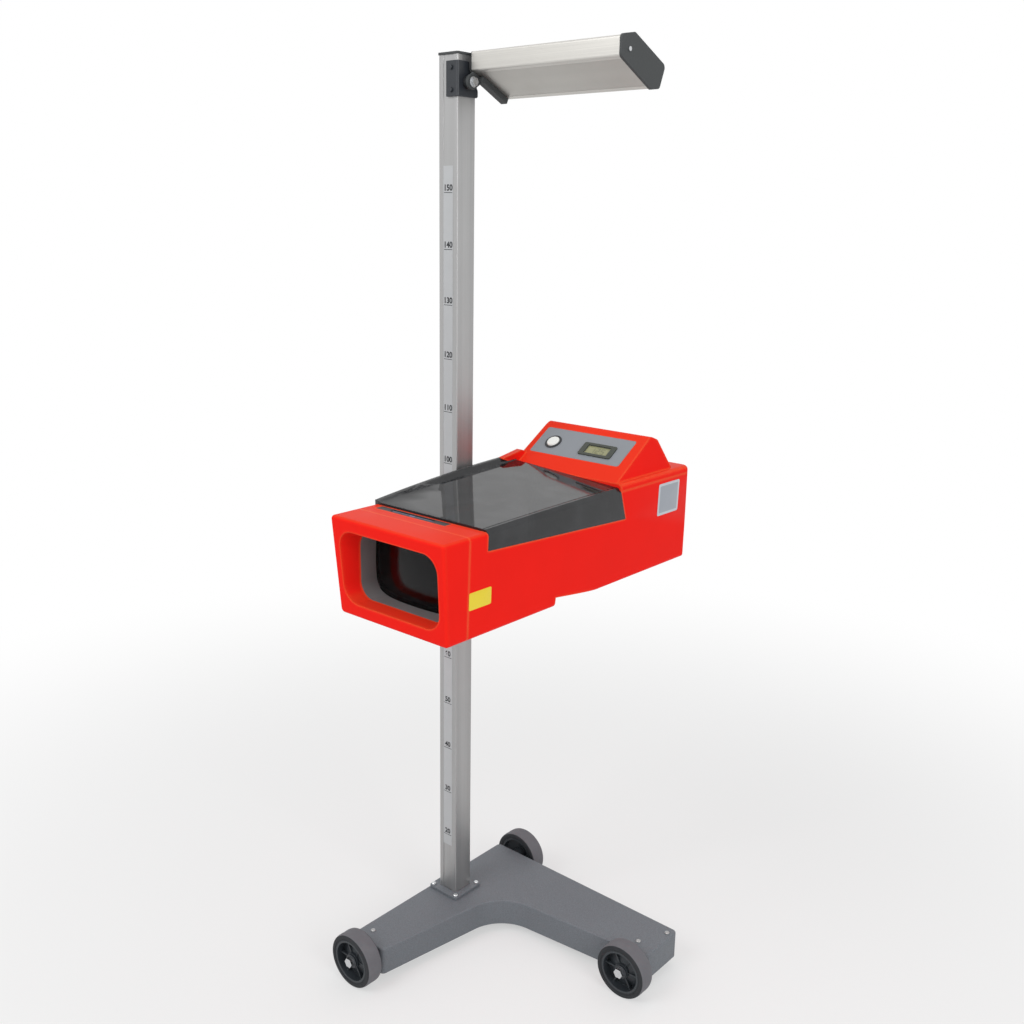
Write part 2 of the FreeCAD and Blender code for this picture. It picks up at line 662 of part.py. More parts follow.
def lower_housing():
    """Moulded tray: front deck with the level's slot, low window sills and high rear walls."""
    front = box_run(DECK_TOP, 0, [FLOOR_R, FLOOR_R, DECK_R, DECK_R], BEZEL_REAR, COVER_FRONT)
    rear = box_run(REAR_RIM, 0, [FLOOR_R, FLOOR_R, 0, 0], COVER_FRONT, BOX_REAR)
    mount = block(PLATE_FACE, BOX_LEFT + 9, -PLATE_HALF, PLATE_HALF, PLATE_BOTTOM, PLATE_TOP)
    outer = fuse_all([front, rear.common(box_plan(0, 700, 1100)), mount]).cut(floor_notch(0))
    inner_r = FLOOR_R - BOX_WALL
    deck_r = DECK_R - BOX_WALL
    front_radii = [inner_r, inner_r, deck_r, deck_r]
    room_front = box_run(DECK_TOP - BOX_WALL, BOX_WALL, front_radii, BEZEL_REAR - 1, COVER_FRONT)
    room_rear = box_run(REAR_RIM + 1, BOX_WALL, [inner_r, inner_r, 0, 0], COVER_FRONT - 0.1, BOX_REAR)
    room_rear = room_rear.common(box_plan(BOX_WALL, 700, 1100))
    room = fuse_all([room_front, room_rear]).cut(floor_notch(BOX_WALL))
    shell = outer.cut(room).cut(across(WINDOW_SIDE))
    pillars = [rod("Z", BOX_FLOOR + 1, REAR_RIM, 6, spot) for spot in HOOD_PILLARS]
    shell = fuse_all([shell] + pillars)
    x0, x1, y0, y1 = LEVEL_SLOT
    cuts = [block(x0, x1, y0, y1, DECK_TOP - 10, DECK_TOP + 5)]
    cuts += [rod("X", PLATE_FACE - 1, BOX_LEFT + 20, 2.6, spot) for spot in CARRIAGE_SCREWS]
    cuts.append(rod("Y", BOX_REAR - 10, BOX_REAR + 5, 8 + 0.05, (BOX_MID, LENS_Z)))
    return shell.cut(Part.makeCompound(cuts))


MOUTH = rectangle(60, 295, 831, 962)
THROAT = rectangle(73, 281, 835, 956)


def funnel(room):
    """Tapered mouth from the front face to the lens plane."""
    front = rounded_wire(grown(MOUTH, room), 32 + room, "XZ", BOX_FRONT - 2)
    rear = rounded_wire(grown(THROAT, room), 30 + room, "XZ", LENS_PLANE)
    return Part.makeLoft([front, rear], True, True)


def front_bezel():
    """Front moulding: raked face, soft edges and a tapered mouth round the lens."""
    side = [(BOX_FRONT, DECK_TOP), (BOX_FRONT + BOX_RAKE, BOX_FLOOR),
            (BEZEL_REAR, BOX_FLOOR), (BEZEL_REAR, DECK_TOP)]
    outer = box_run(DECK_TOP, 0, [FLOOR_R, FLOOR_R, DECK_R, DECK_R], BOX_FRONT - 5, BEZEL_REAR)
    outer = outer.common(across(side))
    rim = [edge for edge in outer.Edges if edge.BoundBox.YMax < BOX_FRONT + BOX_RAKE + 1]
    outer = outer.makeFillet(BEZEL_EDGE_R, rim)
    behind = [(y + 4 if y < BEZEL_REAR else y + 1, z) for y, z in side]
    floor_r, deck_r = FLOOR_R - BOX_WALL, DECK_R - BOX_WALL
    radii = [floor_r, floor_r, deck_r, deck_r]
    room = box_run(DECK_TOP - BOX_WALL, BOX_WALL, radii, BOX_FRONT, BEZEL_REAR + 1).common(across(behind))
    shell = outer.cut(room)
    return fuse_all([shell, funnel(3).common(outer)]).cut(funnel(0))


def lens_frame():
    """Grey tunnel behind the mouth, with a flange in the bezel and a lip that seats the lens."""
    rear = LENS_PLANE + TUNNEL_DEPTH
    floor_r, deck_r = FLOOR_R - BOX_WALL - 0.3, DECK_R - BOX_WALL - 0.3
    flange = box_run(DECK_TOP - BOX_WALL - 0.3, BOX_WALL + 0.3, [floor_r, floor_r, deck_r, deck_r],
                     LENS_PLANE, LENS_PLANE + 3)
    tube = prism(grown(THROAT, 2.5), 32.5, "XZ", LENS_PLANE, rear)
    bore = prism(THROAT, 30, "XZ", LENS_PLANE - 1, rear - 3)
    lip = prism(grown(THROAT, -6), 40, "XZ", rear - 5, rear + 1)
    return fuse_all([flange, tube]).cut(bore).cut(lip)


def lens():
    """Plano-convex collecting lens trimmed to the tunnel."""
    back = LENS_PLANE + TUNNEL_DEPTH - 3
    pole = back - LENS_THICK
    ball = Part.makeSphere(LENS_SPHERE_R, Vector(BOX_MID, pole + LENS_SPHERE_R, LENS_Z))
    return prism(grown(THROAT, -0.4), 29.6, "XZ", pole - 1, back).common(ball)


def cover_height(heights, y):
    """Height of a line of the cover along Y: a parabola through its heights at the stations."""
    total = 0.0
    for here, height in zip(COVER_STATIONS, heights):
        others = [other for other in COVER_STATIONS if other != here]
        total += height * math.prod((y - other) / (here - other) for other in others)
    return total


def cover_top(drop):
    """Smooth warped body under the cover's top, lowered by a drop: rim, slope, pane and right bevel."""
    left, right = BOX_LEFT - 20, BOX_RIGHT + 20
    wires = []
    for y in COVER_SECTIONS:
        rim = cover_height(RIM_HEIGHTS, y) - drop
        pane = cover_height(PANE_HEIGHTS, y) - drop
        edge = cover_height(EDGE_HEIGHTS, y) - drop
        corners = [(left, 900), (right, 900), (right, edge - RIGHT_BEVEL - 20),
                   (BOX_RIGHT - RIGHT_BEVEL, edge), (RIM_FOOT, pane), (RIM_EDGE, rim), (left, rim)]
        wires.append(rounded_wire(corners, 0, "XZ", y))
    return Part.makeLoft(wires, True, False)


def left_wing(side):
    """Side outline as (y, z) corners pulled across the left edge of the box only."""
    edge = block(0, BOX_LEFT + HORN_WIDTH, COVER_FRONT, BOX_REAR, 900, 1100)
    return across(side).common(prism(box_section(1100), 0, "XZ", COVER_FRONT, BOX_REAR)).common(edge)


def smoked_cover():
    """See-through cover: warped pane between a left rim and a right bevel, on skirts along the sills."""
    start, end = COVER_SECTIONS[0], COVER_SECTIONS[-1]
    outer = cover_top(0).common(across(WINDOW_SIDE)).common(prism(box_section(1100), 0, "XZ", start, end))
    room = cover_top(BOX_WALL).common(prism(box_section(1100, BOX_WALL), 0, "XZ", start, end))
    room = room.cut(block(0, 400, COVER_FRONT - 50, COVER_FRONT + BOX_WALL, WINDOW_FRONT_Z, 1100))
    room = room.cut(block(0, 400, COVER_REAR - BOX_WALL, COVER_REAR + 80, REAR_RIM, 1100))
    groove = block(*GROOVE, COVER_FRONT - 1, COVER_REAR + 1, 970, 1100).cut(cover_top(GROOVE_DEPTH))
    horn_seat = left_wing(HORN_SEAM + [(HORN_SEAM[1][0], 1100), (HORN_TIP, 1100)])
    return outer.cut(room).cut(groove).cut(horn_seat)


def chamber_liner():
    """Thin dark lining on the floor and sides of the optical chamber."""
    start, end = LENS_PLANE + TUNNEL_DEPTH + 2, SCREEN_Y - 8
    outer_r, inner_r = FLOOR_R - BOX_WALL - 0.2, FLOOR_R - BOX_WALL - 1.4
    outer = box_run(WINDOW_REAR_Z - 4, BOX_WALL + 0.2, [outer_r, outer_r, 0, 0], start, end)
    inner = box_run(WINDOW_REAR_Z - 3, BOX_WALL + 1.4, [inner_r, inner_r, 0, 0], start - 1, end + 1)
    return outer.cut(inner).cut(floor_notch(BOX_WALL + 1))


# Rear hood and its console

def on_slope(shape):
    """Carry a shape drawn as (x, along the slope, out of it) onto the console's slope."""
    rise = math.degrees(math.atan2(SLOPE_BROW[1] - SLOPE_FOOT[1], SLOPE_BROW[0] - SLOPE_FOOT[0]))
    shape.Placement = Placement(Vector(0, *SLOPE_FOOT), Rotation(Vector(1, 0, 0), rise))
    return shape


def slab(bounds, low, high, radius=0.0, room=0.0):
    """Rounded plate on the slope, from its (x0, x1, s0, s1) bounds and two heights."""
    x0, x1, s0, s1 = bounds
    corners = rectangle(x0 - room, x1 + room, s0 - room, s1 + room)
    return on_slope(prism(corners, radius, "XY", low, high))


def slope_rod(spot, low, high, radius):
    """Round bar standing on the slope."""
    return on_slope(rod("Z", low, high, radius, spot))


BUTTON_SPOT = (BUTTON_X, BUTTON_S)
STANDOFFS = [(x, s) for x in (72, 262) for s in (50, 107)]


def console_body(inset, slope_inset):
    """Console solid: side outline pulled across, trimmed by a front outline with round shoulders."""
    side = [SLOPE_FOOT, SLOPE_BROW, CONSOLE_BACK, CONSOLE_HEEL]
    sill = CONSOLE_SILL + 5
    drawn = grown([(SLOPE_FOOT[0], sill), *side, (CONSOLE_HEEL[0], sill)], -slope_inset)
    drawn[0] = (drawn[0][0], CONSOLE_SILL)
    drawn[-1] = (drawn[-1][0], CONSOLE_SILL)
    soft = [0, 3, 12 - slope_inset, 14 - slope_inset, 8, 0]
    left, right = CONSOLE_LEFT + inset, CONSOLE_RIGHT - inset
    low, high = CONSOLE_SILL - 5, CONSOLE_TOP - inset
    front = [(left, low), (right + 3, low), (right - 2, high), (left + 2, high)]
    front = prism(front, [0, 0, CONSOLE_SHOULDER_R, CONSOLE_SHOULDER_R], "XZ", 100, 330)
    return prism(drawn, soft, "YZ", left - 10, right + 10).common(front)


def rear_hood():
    """Lid over the back of the box: rounded shoulder deck, console, and a horn along the cover's rim."""
    front = SLOPE_FOOT[0] - 0.5
    behind = block(0, 500, front, 500, 900, 1100)
    deck = box_plan(0, REAR_RIM, HOOD_DECK).common(behind)
    brim = [edge for edge in deck.Edges
            if edge.BoundBox.ZMin > HOOD_DECK - 0.1 and edge.BoundBox.YMax > front + 1]
    deck = deck.makeFillet(HOOD_BRIM_R, brim)
    deck_room = box_plan(BOX_WALL, REAR_RIM - 1, HOOD_DECK - BOX_WALL)
    deck_room = deck_room.common(block(0, 500, front + BOX_WALL, 500, 900, 1100))
    ahead = SLOPE_FOOT[0] - 5
    strip = across([SLOPE_FOOT, (ahead, SLOPE_FOOT[1]), (ahead, 1100), (SLOPE_BROW[0], 1100), SLOPE_BROW])
    deck = deck.cut(strip.common(block(CONSOLE_LEFT + 2, CONSOLE_RIGHT - 2, 0, 500, 900, 1100)))
    console = console_body(0, 0).common(block(0, 500, front, 500, REAR_RIM, 1100))
    shell = fuse_all([deck, console, left_wing(HORN_SEAM + HORN_CREST)])
    shell = shell.cut(deck_room).cut(console_body(BOX_WALL, SLOPE_WALL))
    posts = [slope_rod(spot, -BOARD_DEPTH, -SLOPE_WALL / 2, 4) for spot in STANDOFFS]
    shell = fuse_all([shell] + posts)
    cuts = [slab(PANEL, -PANEL_THICK, 6, 5), slab(DISPLAY, -20, 6)]
    cuts.append(slope_rod(BUTTON_SPOT, -20, 6, BUTTON_R + 0.4))
    return shell.cut(Part.makeCompound(cuts))


def console_fittings():
    """Panel, display, board with its switch, and the push button on the slope."""
    panel = slab(PANEL, -PANEL_THICK, 0, 4.8, -0.2)
    panel = panel.cut(slab(DISPLAY, -9, 9)).cut(slope_rod(BUTTON_SPOT, -9, 9, BUTTON_R + 0.4))
    frame = slab(DISPLAY_FRAME, 0, 2.2, 4).cut(slab(DISPLAY, -1, 4, 1))
    pane = slab(DISPLAY, -SLOPE_WALL - 1, -0.6, 0, -0.3)
    screen = fuse_all([pane, slab(DISPLAY, -BOARD_DEPTH, -SLOPE_WALL - 0.3, 0, 4)])
    board = slab(BOARD, -BOARD_DEPTH - 1.6, -BOARD_DEPTH, 2)
    switch = slab((BUTTON_X - 6, BUTTON_X + 6, BUTTON_S - 6, BUTTON_S + 6), -BOARD_DEPTH, -9)
    collar = slope_rod(BUTTON_SPOT, 0, 1.6, BUTTON_R + 4.5)
    collar = collar.cut(slope_rod(BUTTON_SPOT, -1, 3, BUTTON_R + 0.4))
    cap = rod("Z", -5, 4, BUTTON_R, BUTTON_SPOT)
    cap = cap.makeChamfer(1.5, [edge for edge in cap.Edges if edge.BoundBox.ZMin > 3.9])
    button = on_slope(fuse_all([cap, rod("Z", -6.6, -4.8, BUTTON_R + 2, BUTTON_SPOT)]))
    return {
        "control_panel": panel, "display_bezel": frame, "display_module": screen,
        "circuit_board": Part.makeCompound([board, switch]), "button_collar": collar, "push_button": button,
    }


def spirit_level():
    """Level in the front deck: a holder that fills the slot and a vial lying in it."""
    x0, x1, y0, y1 = LEVEL_SLOT
    middle = ((y0 + y1) / 2, DECK_TOP - 5)
    nose = block(x0 + 0.2, x1 - 0.2, y0 + 0.2, y1 - 0.2, DECK_TOP - 12, DECK_TOP)
    flange = block(x0 - 4, x1 + 4, y0 - 4, y1 + 3, DECK_TOP - 12, DECK_TOP - BOX_WALL)
    open_top = block(98, 200, middle[0] - 5.2, middle[0] + 5.2, middle[1], DECK_TOP + 9)
    trough = fuse_all([rod("X", 98, 200, 5.2, middle), open_top])
    vial = rod("X", 99, 199, 4.9, middle)
    vial = vial.makeChamfer(2, [edge for edge in vial.Edges if edge.BoundBox.XLength < 0.1])
    return {"level_holder": fuse_all([nose, flange]).cut(trough), "level_vial": vial}


# Aiming screen and dip drive

def involute_pinion(low, high):
    """Pinion about Y: each flank is an involute of the base circle, thinned by the backlash."""
    base_r = PITCH_R * math.cos(PRESSURE_ANGLE)
    tip_r = PITCH_R + GEAR_ADDENDUM
    root_r = PITCH_R - GEAR_DEDENDUM
    spread = math.tan(PRESSURE_ANGLE) - PRESSURE_ANGLE
    half_tooth = math.pi / (2 * PINION_TEETH) - GEAR_BACKLASH / (2 * PITCH_R) + spread
    flank = [(root_r, half_tooth)]
    for step in range(4):
        radius = base_r + (tip_r - base_r) * step / 3
        roll = math.sqrt((radius / base_r) ** 2 - 1)
        flank.append((radius, half_tooth - (roll - math.atan(roll))))
    points = []
    for tooth in range(PINION_TEETH):
        centre = 2 * math.pi * tooth / PINION_TEETH
        outline = [(r, centre - a) for r, a in flank] + [(r, centre + a) for r, a in reversed(flank)]
        points += [(BOX_MID + r * math.cos(a), LENS_Z + r * math.sin(a)) for r, a in outline]
    return prism(points, 0, "XZ", low, high)


def rack():
    """Toothed bar on the back of the screen, in mesh with the pinion at rest."""
    pitch = math.pi * GEAR_MODULE
    line = BOX_MID + PITCH_R
    tip, root = line - GEAR_ADDENDUM, line + GEAR_DEDENDUM
    slope = math.tan(PRESSURE_ANGLE)
    half = pitch / 4 - GEAR_BACKLASH / 2
    points = []
    for tooth in range(-9, 10):
        gap_centre = LENS_Z + (tooth + 0.5) * pitch
        at_root, at_tip = half + GEAR_DEDENDUM * slope, half - GEAR_ADDENDUM * slope
        points += [(root, gap_centre - at_root), (tip, gap_centre - at_tip)]
        points += [(tip, gap_centre + at_tip), (root, gap_centre + at_root)]
    low, high = points[0][1] - 2, points[-1][1] + 2
    outline = [(root, low)] + points + [(root, high), (root + 7, high), (root + 7, low)]
    back = SCREEN_Y + SCREEN_THICK
    return prism(outline, 0, "XZ", back, back + 8)


def aiming_screen():
    """Sliding screen with the rack's seat behind it and the light cell in front."""
    outline = rectangle(BOX_MID - SCREEN_HALF, BOX_MID + SCREEN_HALF, LENS_Z - 60, LENS_Z + 60)
    plate = prism(outline, 4, "XZ", SCREEN_Y, SCREEN_Y + SCREEN_THICK)
    cell = rod("Y", SCREEN_Y - 4, SCREEN_Y, 8, (BOX_MID, LENS_Z))
    return {"aiming_screen": plate, "light_cell": cell, "screen_rack": rack()}


def screen_frame():
    """Two grooved rails on the floor and a cross bar that carries the dip shaft."""
    floor = BOX_FLOOR + BOX_WALL
    reach = SCREEN_HALF + 0.4
    left, right = BOX_MID - reach, BOX_MID + reach
    groove = block(left, right, SCREEN_Y - 0.4, SCREEN_Y + SCREEN_THICK + 0.4, floor + 3, 1000)
    pieces = []
    for rail in (BOX_MID - SCREEN_HALF - 1, BOX_MID + SCREEN_HALF + 1):
        pieces.append(block(rail - 6, rail + 6, SCREEN_Y - 5, SCREEN_Y + 20, floor, REAR_RIM - 2))
    pieces.append(block(left, right, SCREEN_Y + 14, SCREEN_Y + 20, LENS_Z - 20, LENS_Z + 20))
    frame = fuse_all(pieces).cut(groove)
    return frame.cut(rod("Y", SCREEN_Y, SCREEN_Y + 40, SHAFT_R + RUNNING_GAP, (BOX_MID, LENS_Z)))


def dip_drive():
    """Knob on the back of the box, its shaft with the pinion, and the shaft's bush."""
    axis = (BOX_MID, LENS_Z)
    start = SCREEN_Y + SCREEN_THICK + 0.5
    shaft = fuse_all([rod("Y", start, DIP_KNOB_END - 4, SHAFT_R, axis), involute_pinion(start, start + 7)])
    knob = rod("Y", BOX_REAR + 3, DIP_KNOB_END, 20, axis)
    knob = knob.makeChamfer(1.5, [edge for edge in knob.Edges if edge.BoundBox.YMin > DIP_KNOB_END - 0.1])
    grips = []
    for step in range(12):
        angle = math.radians(30 * step)
        grips.append(rod("Y", BOX_REAR + 6, DIP_KNOB_END + 1, 2.5,
                         (BOX_MID + 21 * math.cos(angle), LENS_Z + 21 * math.sin(angle))))
    shaft_hole = rod("Y", BOX_REAR, DIP_KNOB_END - 4, SHAFT_R + 0.02, axis)
    knob = knob.cut(Part.makeCompound(grips)).cut(shaft_hole)
    collar = rod("Y", BOX_REAR, BOX_REAR + 2, 11, axis)
    bush_tube = fuse_all([rod("Y", BOX_REAR - 8, BOX_REAR + 1, 8, axis), collar])
    return {
        "dip_shaft": shaft, "dip_knob": knob,
        "dip_bush": bush_tube.cut(rod("Y", 0, 500, SHAFT_R + RUNNING_GAP, axis)),
    }


def battery_pack():
    """Battery case on the floor under the hood."""
    floor = BOX_FLOOR + BOX_WALL
    case = block(BOX_MID - 70, BOX_MID + 70, 225, 310, floor, floor + 42)
    return case.makeChamfer(3, [edge for edge in case.Edges if edge.BoundBox.ZMin > floor + 41])


def all_nodes():
    """Every sub-part of the tester by name."""
    nodes = wheels()
    nodes["base_shell"] = base_shell()
    nodes["axle_blocks"] = axle_blocks()
    nodes["base_screws"] = pan_screws(BASE_SCREWS, BASE_TOP, 5, 2.6, 2.5, 20)
    nodes["column_foot"] = column_foot()
    nodes["foot_screws"] = pan_screws(FOOT_SCREWS, BASE_TOP + FOOT_THICK, 5, 4, 2.5, 20)
    nodes["column"] = column()
    nodes["height_scale"] = height_scale()
    nodes["column_cap"] = column_cap()
    nodes["cap_screw"] = pan_screws([(0, 0)], COLUMN_TOP + 4, 5, 3, 2.4, 14)
    nodes["visor_bracket"] = visor_bracket()
    nodes["bracket_screws"] = bracket_screws()
    nodes.update(pivot_parts())
    nodes.update(visor())
    nodes["carriage_sleeve"] = carriage_sleeve()
    nodes["glide_liners"] = glide_liners()
    nodes["carriage_screws"] = carriage_screws()
    nodes.update(clamp())
    nodes["lower_housing"] = lower_housing()
    nodes["front_bezel"] = front_bezel()
    nodes["lens_frame"] = lens_frame()
    nodes["lens"] = lens()
    nodes["smoked_cover"] = smoked_cover()
    nodes["chamber_liner"] = chamber_liner()
    nodes["rear_hood"] = rear_hood()
    nodes.update(console_fittings())
    nodes.update(spirit_level())
    nodes.update(aiming_screen())
    nodes["screen_frame"] = screen_frame()
    nodes.update(dip_drive())
    nodes["battery_pack"] = battery_pack()
    return nodes


os.makedirs("parts", exist_ok=True)
for node_name, node_shape in all_nodes().items():
    node_shape.translate(ORIGIN_SHIFT)
    node_shape.exportStep(f"parts/{node_name}.step")
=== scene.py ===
"""Headlight beam tester on a wheeled stand: finishes, fine pieces, studio light and camera."""
import json
import logging
import math
from dataclasses import dataclass, field
from enum import Enum
from typing import Any, ClassVar, Sequence, Union

import bpy
import numpy as np
from mathutils import Matrix, Vector

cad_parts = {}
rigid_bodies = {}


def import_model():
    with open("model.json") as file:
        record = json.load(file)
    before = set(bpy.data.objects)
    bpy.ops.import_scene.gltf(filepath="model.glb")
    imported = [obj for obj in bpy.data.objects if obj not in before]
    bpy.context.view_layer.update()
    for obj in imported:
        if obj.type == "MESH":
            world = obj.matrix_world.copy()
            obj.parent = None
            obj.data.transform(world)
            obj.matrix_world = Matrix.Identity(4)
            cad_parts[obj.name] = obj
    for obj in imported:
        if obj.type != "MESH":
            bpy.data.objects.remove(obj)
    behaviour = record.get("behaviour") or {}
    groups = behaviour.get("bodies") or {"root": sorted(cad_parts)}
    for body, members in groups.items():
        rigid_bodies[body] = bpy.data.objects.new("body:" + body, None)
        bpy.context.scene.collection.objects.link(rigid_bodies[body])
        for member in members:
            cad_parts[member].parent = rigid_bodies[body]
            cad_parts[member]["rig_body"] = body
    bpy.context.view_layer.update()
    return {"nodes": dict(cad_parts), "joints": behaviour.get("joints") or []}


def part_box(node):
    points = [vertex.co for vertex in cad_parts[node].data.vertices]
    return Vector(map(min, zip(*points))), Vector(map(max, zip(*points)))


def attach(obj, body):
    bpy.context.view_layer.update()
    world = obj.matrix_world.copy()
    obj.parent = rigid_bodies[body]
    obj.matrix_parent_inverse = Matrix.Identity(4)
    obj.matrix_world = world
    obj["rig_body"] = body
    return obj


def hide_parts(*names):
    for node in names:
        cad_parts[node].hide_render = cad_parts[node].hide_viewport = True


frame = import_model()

LOG = logging.getLogger("beam_tester")

Array = np.ndarray
Triple = tuple[float, float, float]
Colour = Triple
Band = tuple[float, float]

# Directions of the frame
ACROSS = np.array([1.0, 0.0, 0.0])
BACKWARD = np.array([0.0, 1.0, 0.0])
UPWARD = np.array([0.0, 0.0, 1.0])

# Angles in degrees past which an edge stays sharp
CREASE = 32.0
SOFT_CREASE = 40.0

# Least cosine between the normal of a face and the way that it has to look
FACING = 0.9

# Least divisor, and the distance in metres within which points become one
TINY = 1e-9
WELD_GRAIN = 2e-6

# Points on a round corner and on the softened edge of a plate
CORNER_STEPS = 8
EDGE_STEPS = 5

# Gain on the turn of a surface that counts as edge wear and as painted edge highlight, and rays that find a
# rounded normal
EDGE_GAIN = 3.0
BEVEL_SAMPLES = 6

# Softened share of the thickness of printed ink
INK_EDGE = 0.3

# Mark on the points of a tyre: how near each lies to a wall
WALL_MARK = "wall"


def srgb(red: float, green: float, blue: float) -> Colour:
    """Turn a screen colour of 0 to 255 into linear light by the sRGB curve.

    Args:
        red: Red part.
        green: Green part.
        blue: Blue part.

    Returns:
        The three parts as linear values.
    """
    share = np.array([red, green, blue]) / 255.0
    light = np.where(share <= 0.04045, share / 12.92, ((share + 0.055) / 1.055) ** 2.4)
    return tuple(float(part) for part in light)


class Slot(str, Enum):
    """Material slots of the record that new pieces take their finish from."""

    RED = "red_shell"
    BASE = "base_paint"
    COLUMN = "column_metal"
    SCALE = "scale_strip"
    BRIGHT = "bright_steel"
    DARK = "dark_steel"
    TYRE = "tyre_grey"
    HUB = "hub_plastic"
    BRONZE = "bearing_bronze"
    BLACK = "black_plastic"
    VISOR = "visor_metal"
    VISOR_CAP = "visor_cap"
    MIRROR = "mirror_strip"
    NYLON = "glide_nylon"
    SMOKED = "smoked_sheet"
    LENS = "lens_glass"
    FRAME = "frame_grey"
    PANEL = "panel_grey"
    DISPLAY = "display_dark"
    PANE = "display_pane"
    BOARD = "board_green"
    WHITE = "white_plastic"
    FLUID = "level_fluid"
    SCREEN = "screen_white"
    SENSOR = "sensor_glass"


# Shader maths

class Value:
    """A number on a shader socket; arithmetic on it adds Math nodes."""

    def __init__(self, graph: "Graph", socket: bpy.types.NodeSocket) -> None:
        """Keep the graph and the output socket that holds the number."""
        self.graph = graph
        self.socket = socket

    def __add__(self, other: "Number") -> "Value":
        """Sum."""
        return self.graph.math("ADD", self, other)

    def __radd__(self, other: "Number") -> "Value":
        """Sum with a plain number first."""
        return self.graph.math("ADD", other, self)

    def __sub__(self, other: "Number") -> "Value":
        """Difference."""
        return self.graph.math("SUBTRACT", self, other)

    def __rsub__(self, other: "Number") -> "Value":
        """Difference from a plain number."""
        return self.graph.math("SUBTRACT", other, self)

    def __mul__(self, other: "Number") -> "Value":
        """Product."""
        return self.graph.math("MULTIPLY", self, other)

    def __abs__(self) -> "Value":
        """Size without sign."""
        return self.graph.math("ABSOLUTE", self)

    def band(self, low: float, high: float) -> "Value":
        """Smooth step from 0 at one value to 1 at another.

        Args:
            low: Value that gives 0.
            high: Value that gives 1.

        Returns:
            The step as a number.
        """
        settings = {"interpolation_type": "SMOOTHSTEP"}
        inputs = {"Value": self, "From Min": low, "From Max": high}
        made = self.graph.node("ShaderNodeMapRange", settings, inputs)
        return Value(self.graph, made.outputs["Result"])

    def swung(self, reach: float) -> "Value":
        """Swing about nought: the number less a half, times a reach."""
        return (self - 0.5) * reach


Number = Union[Value, float]


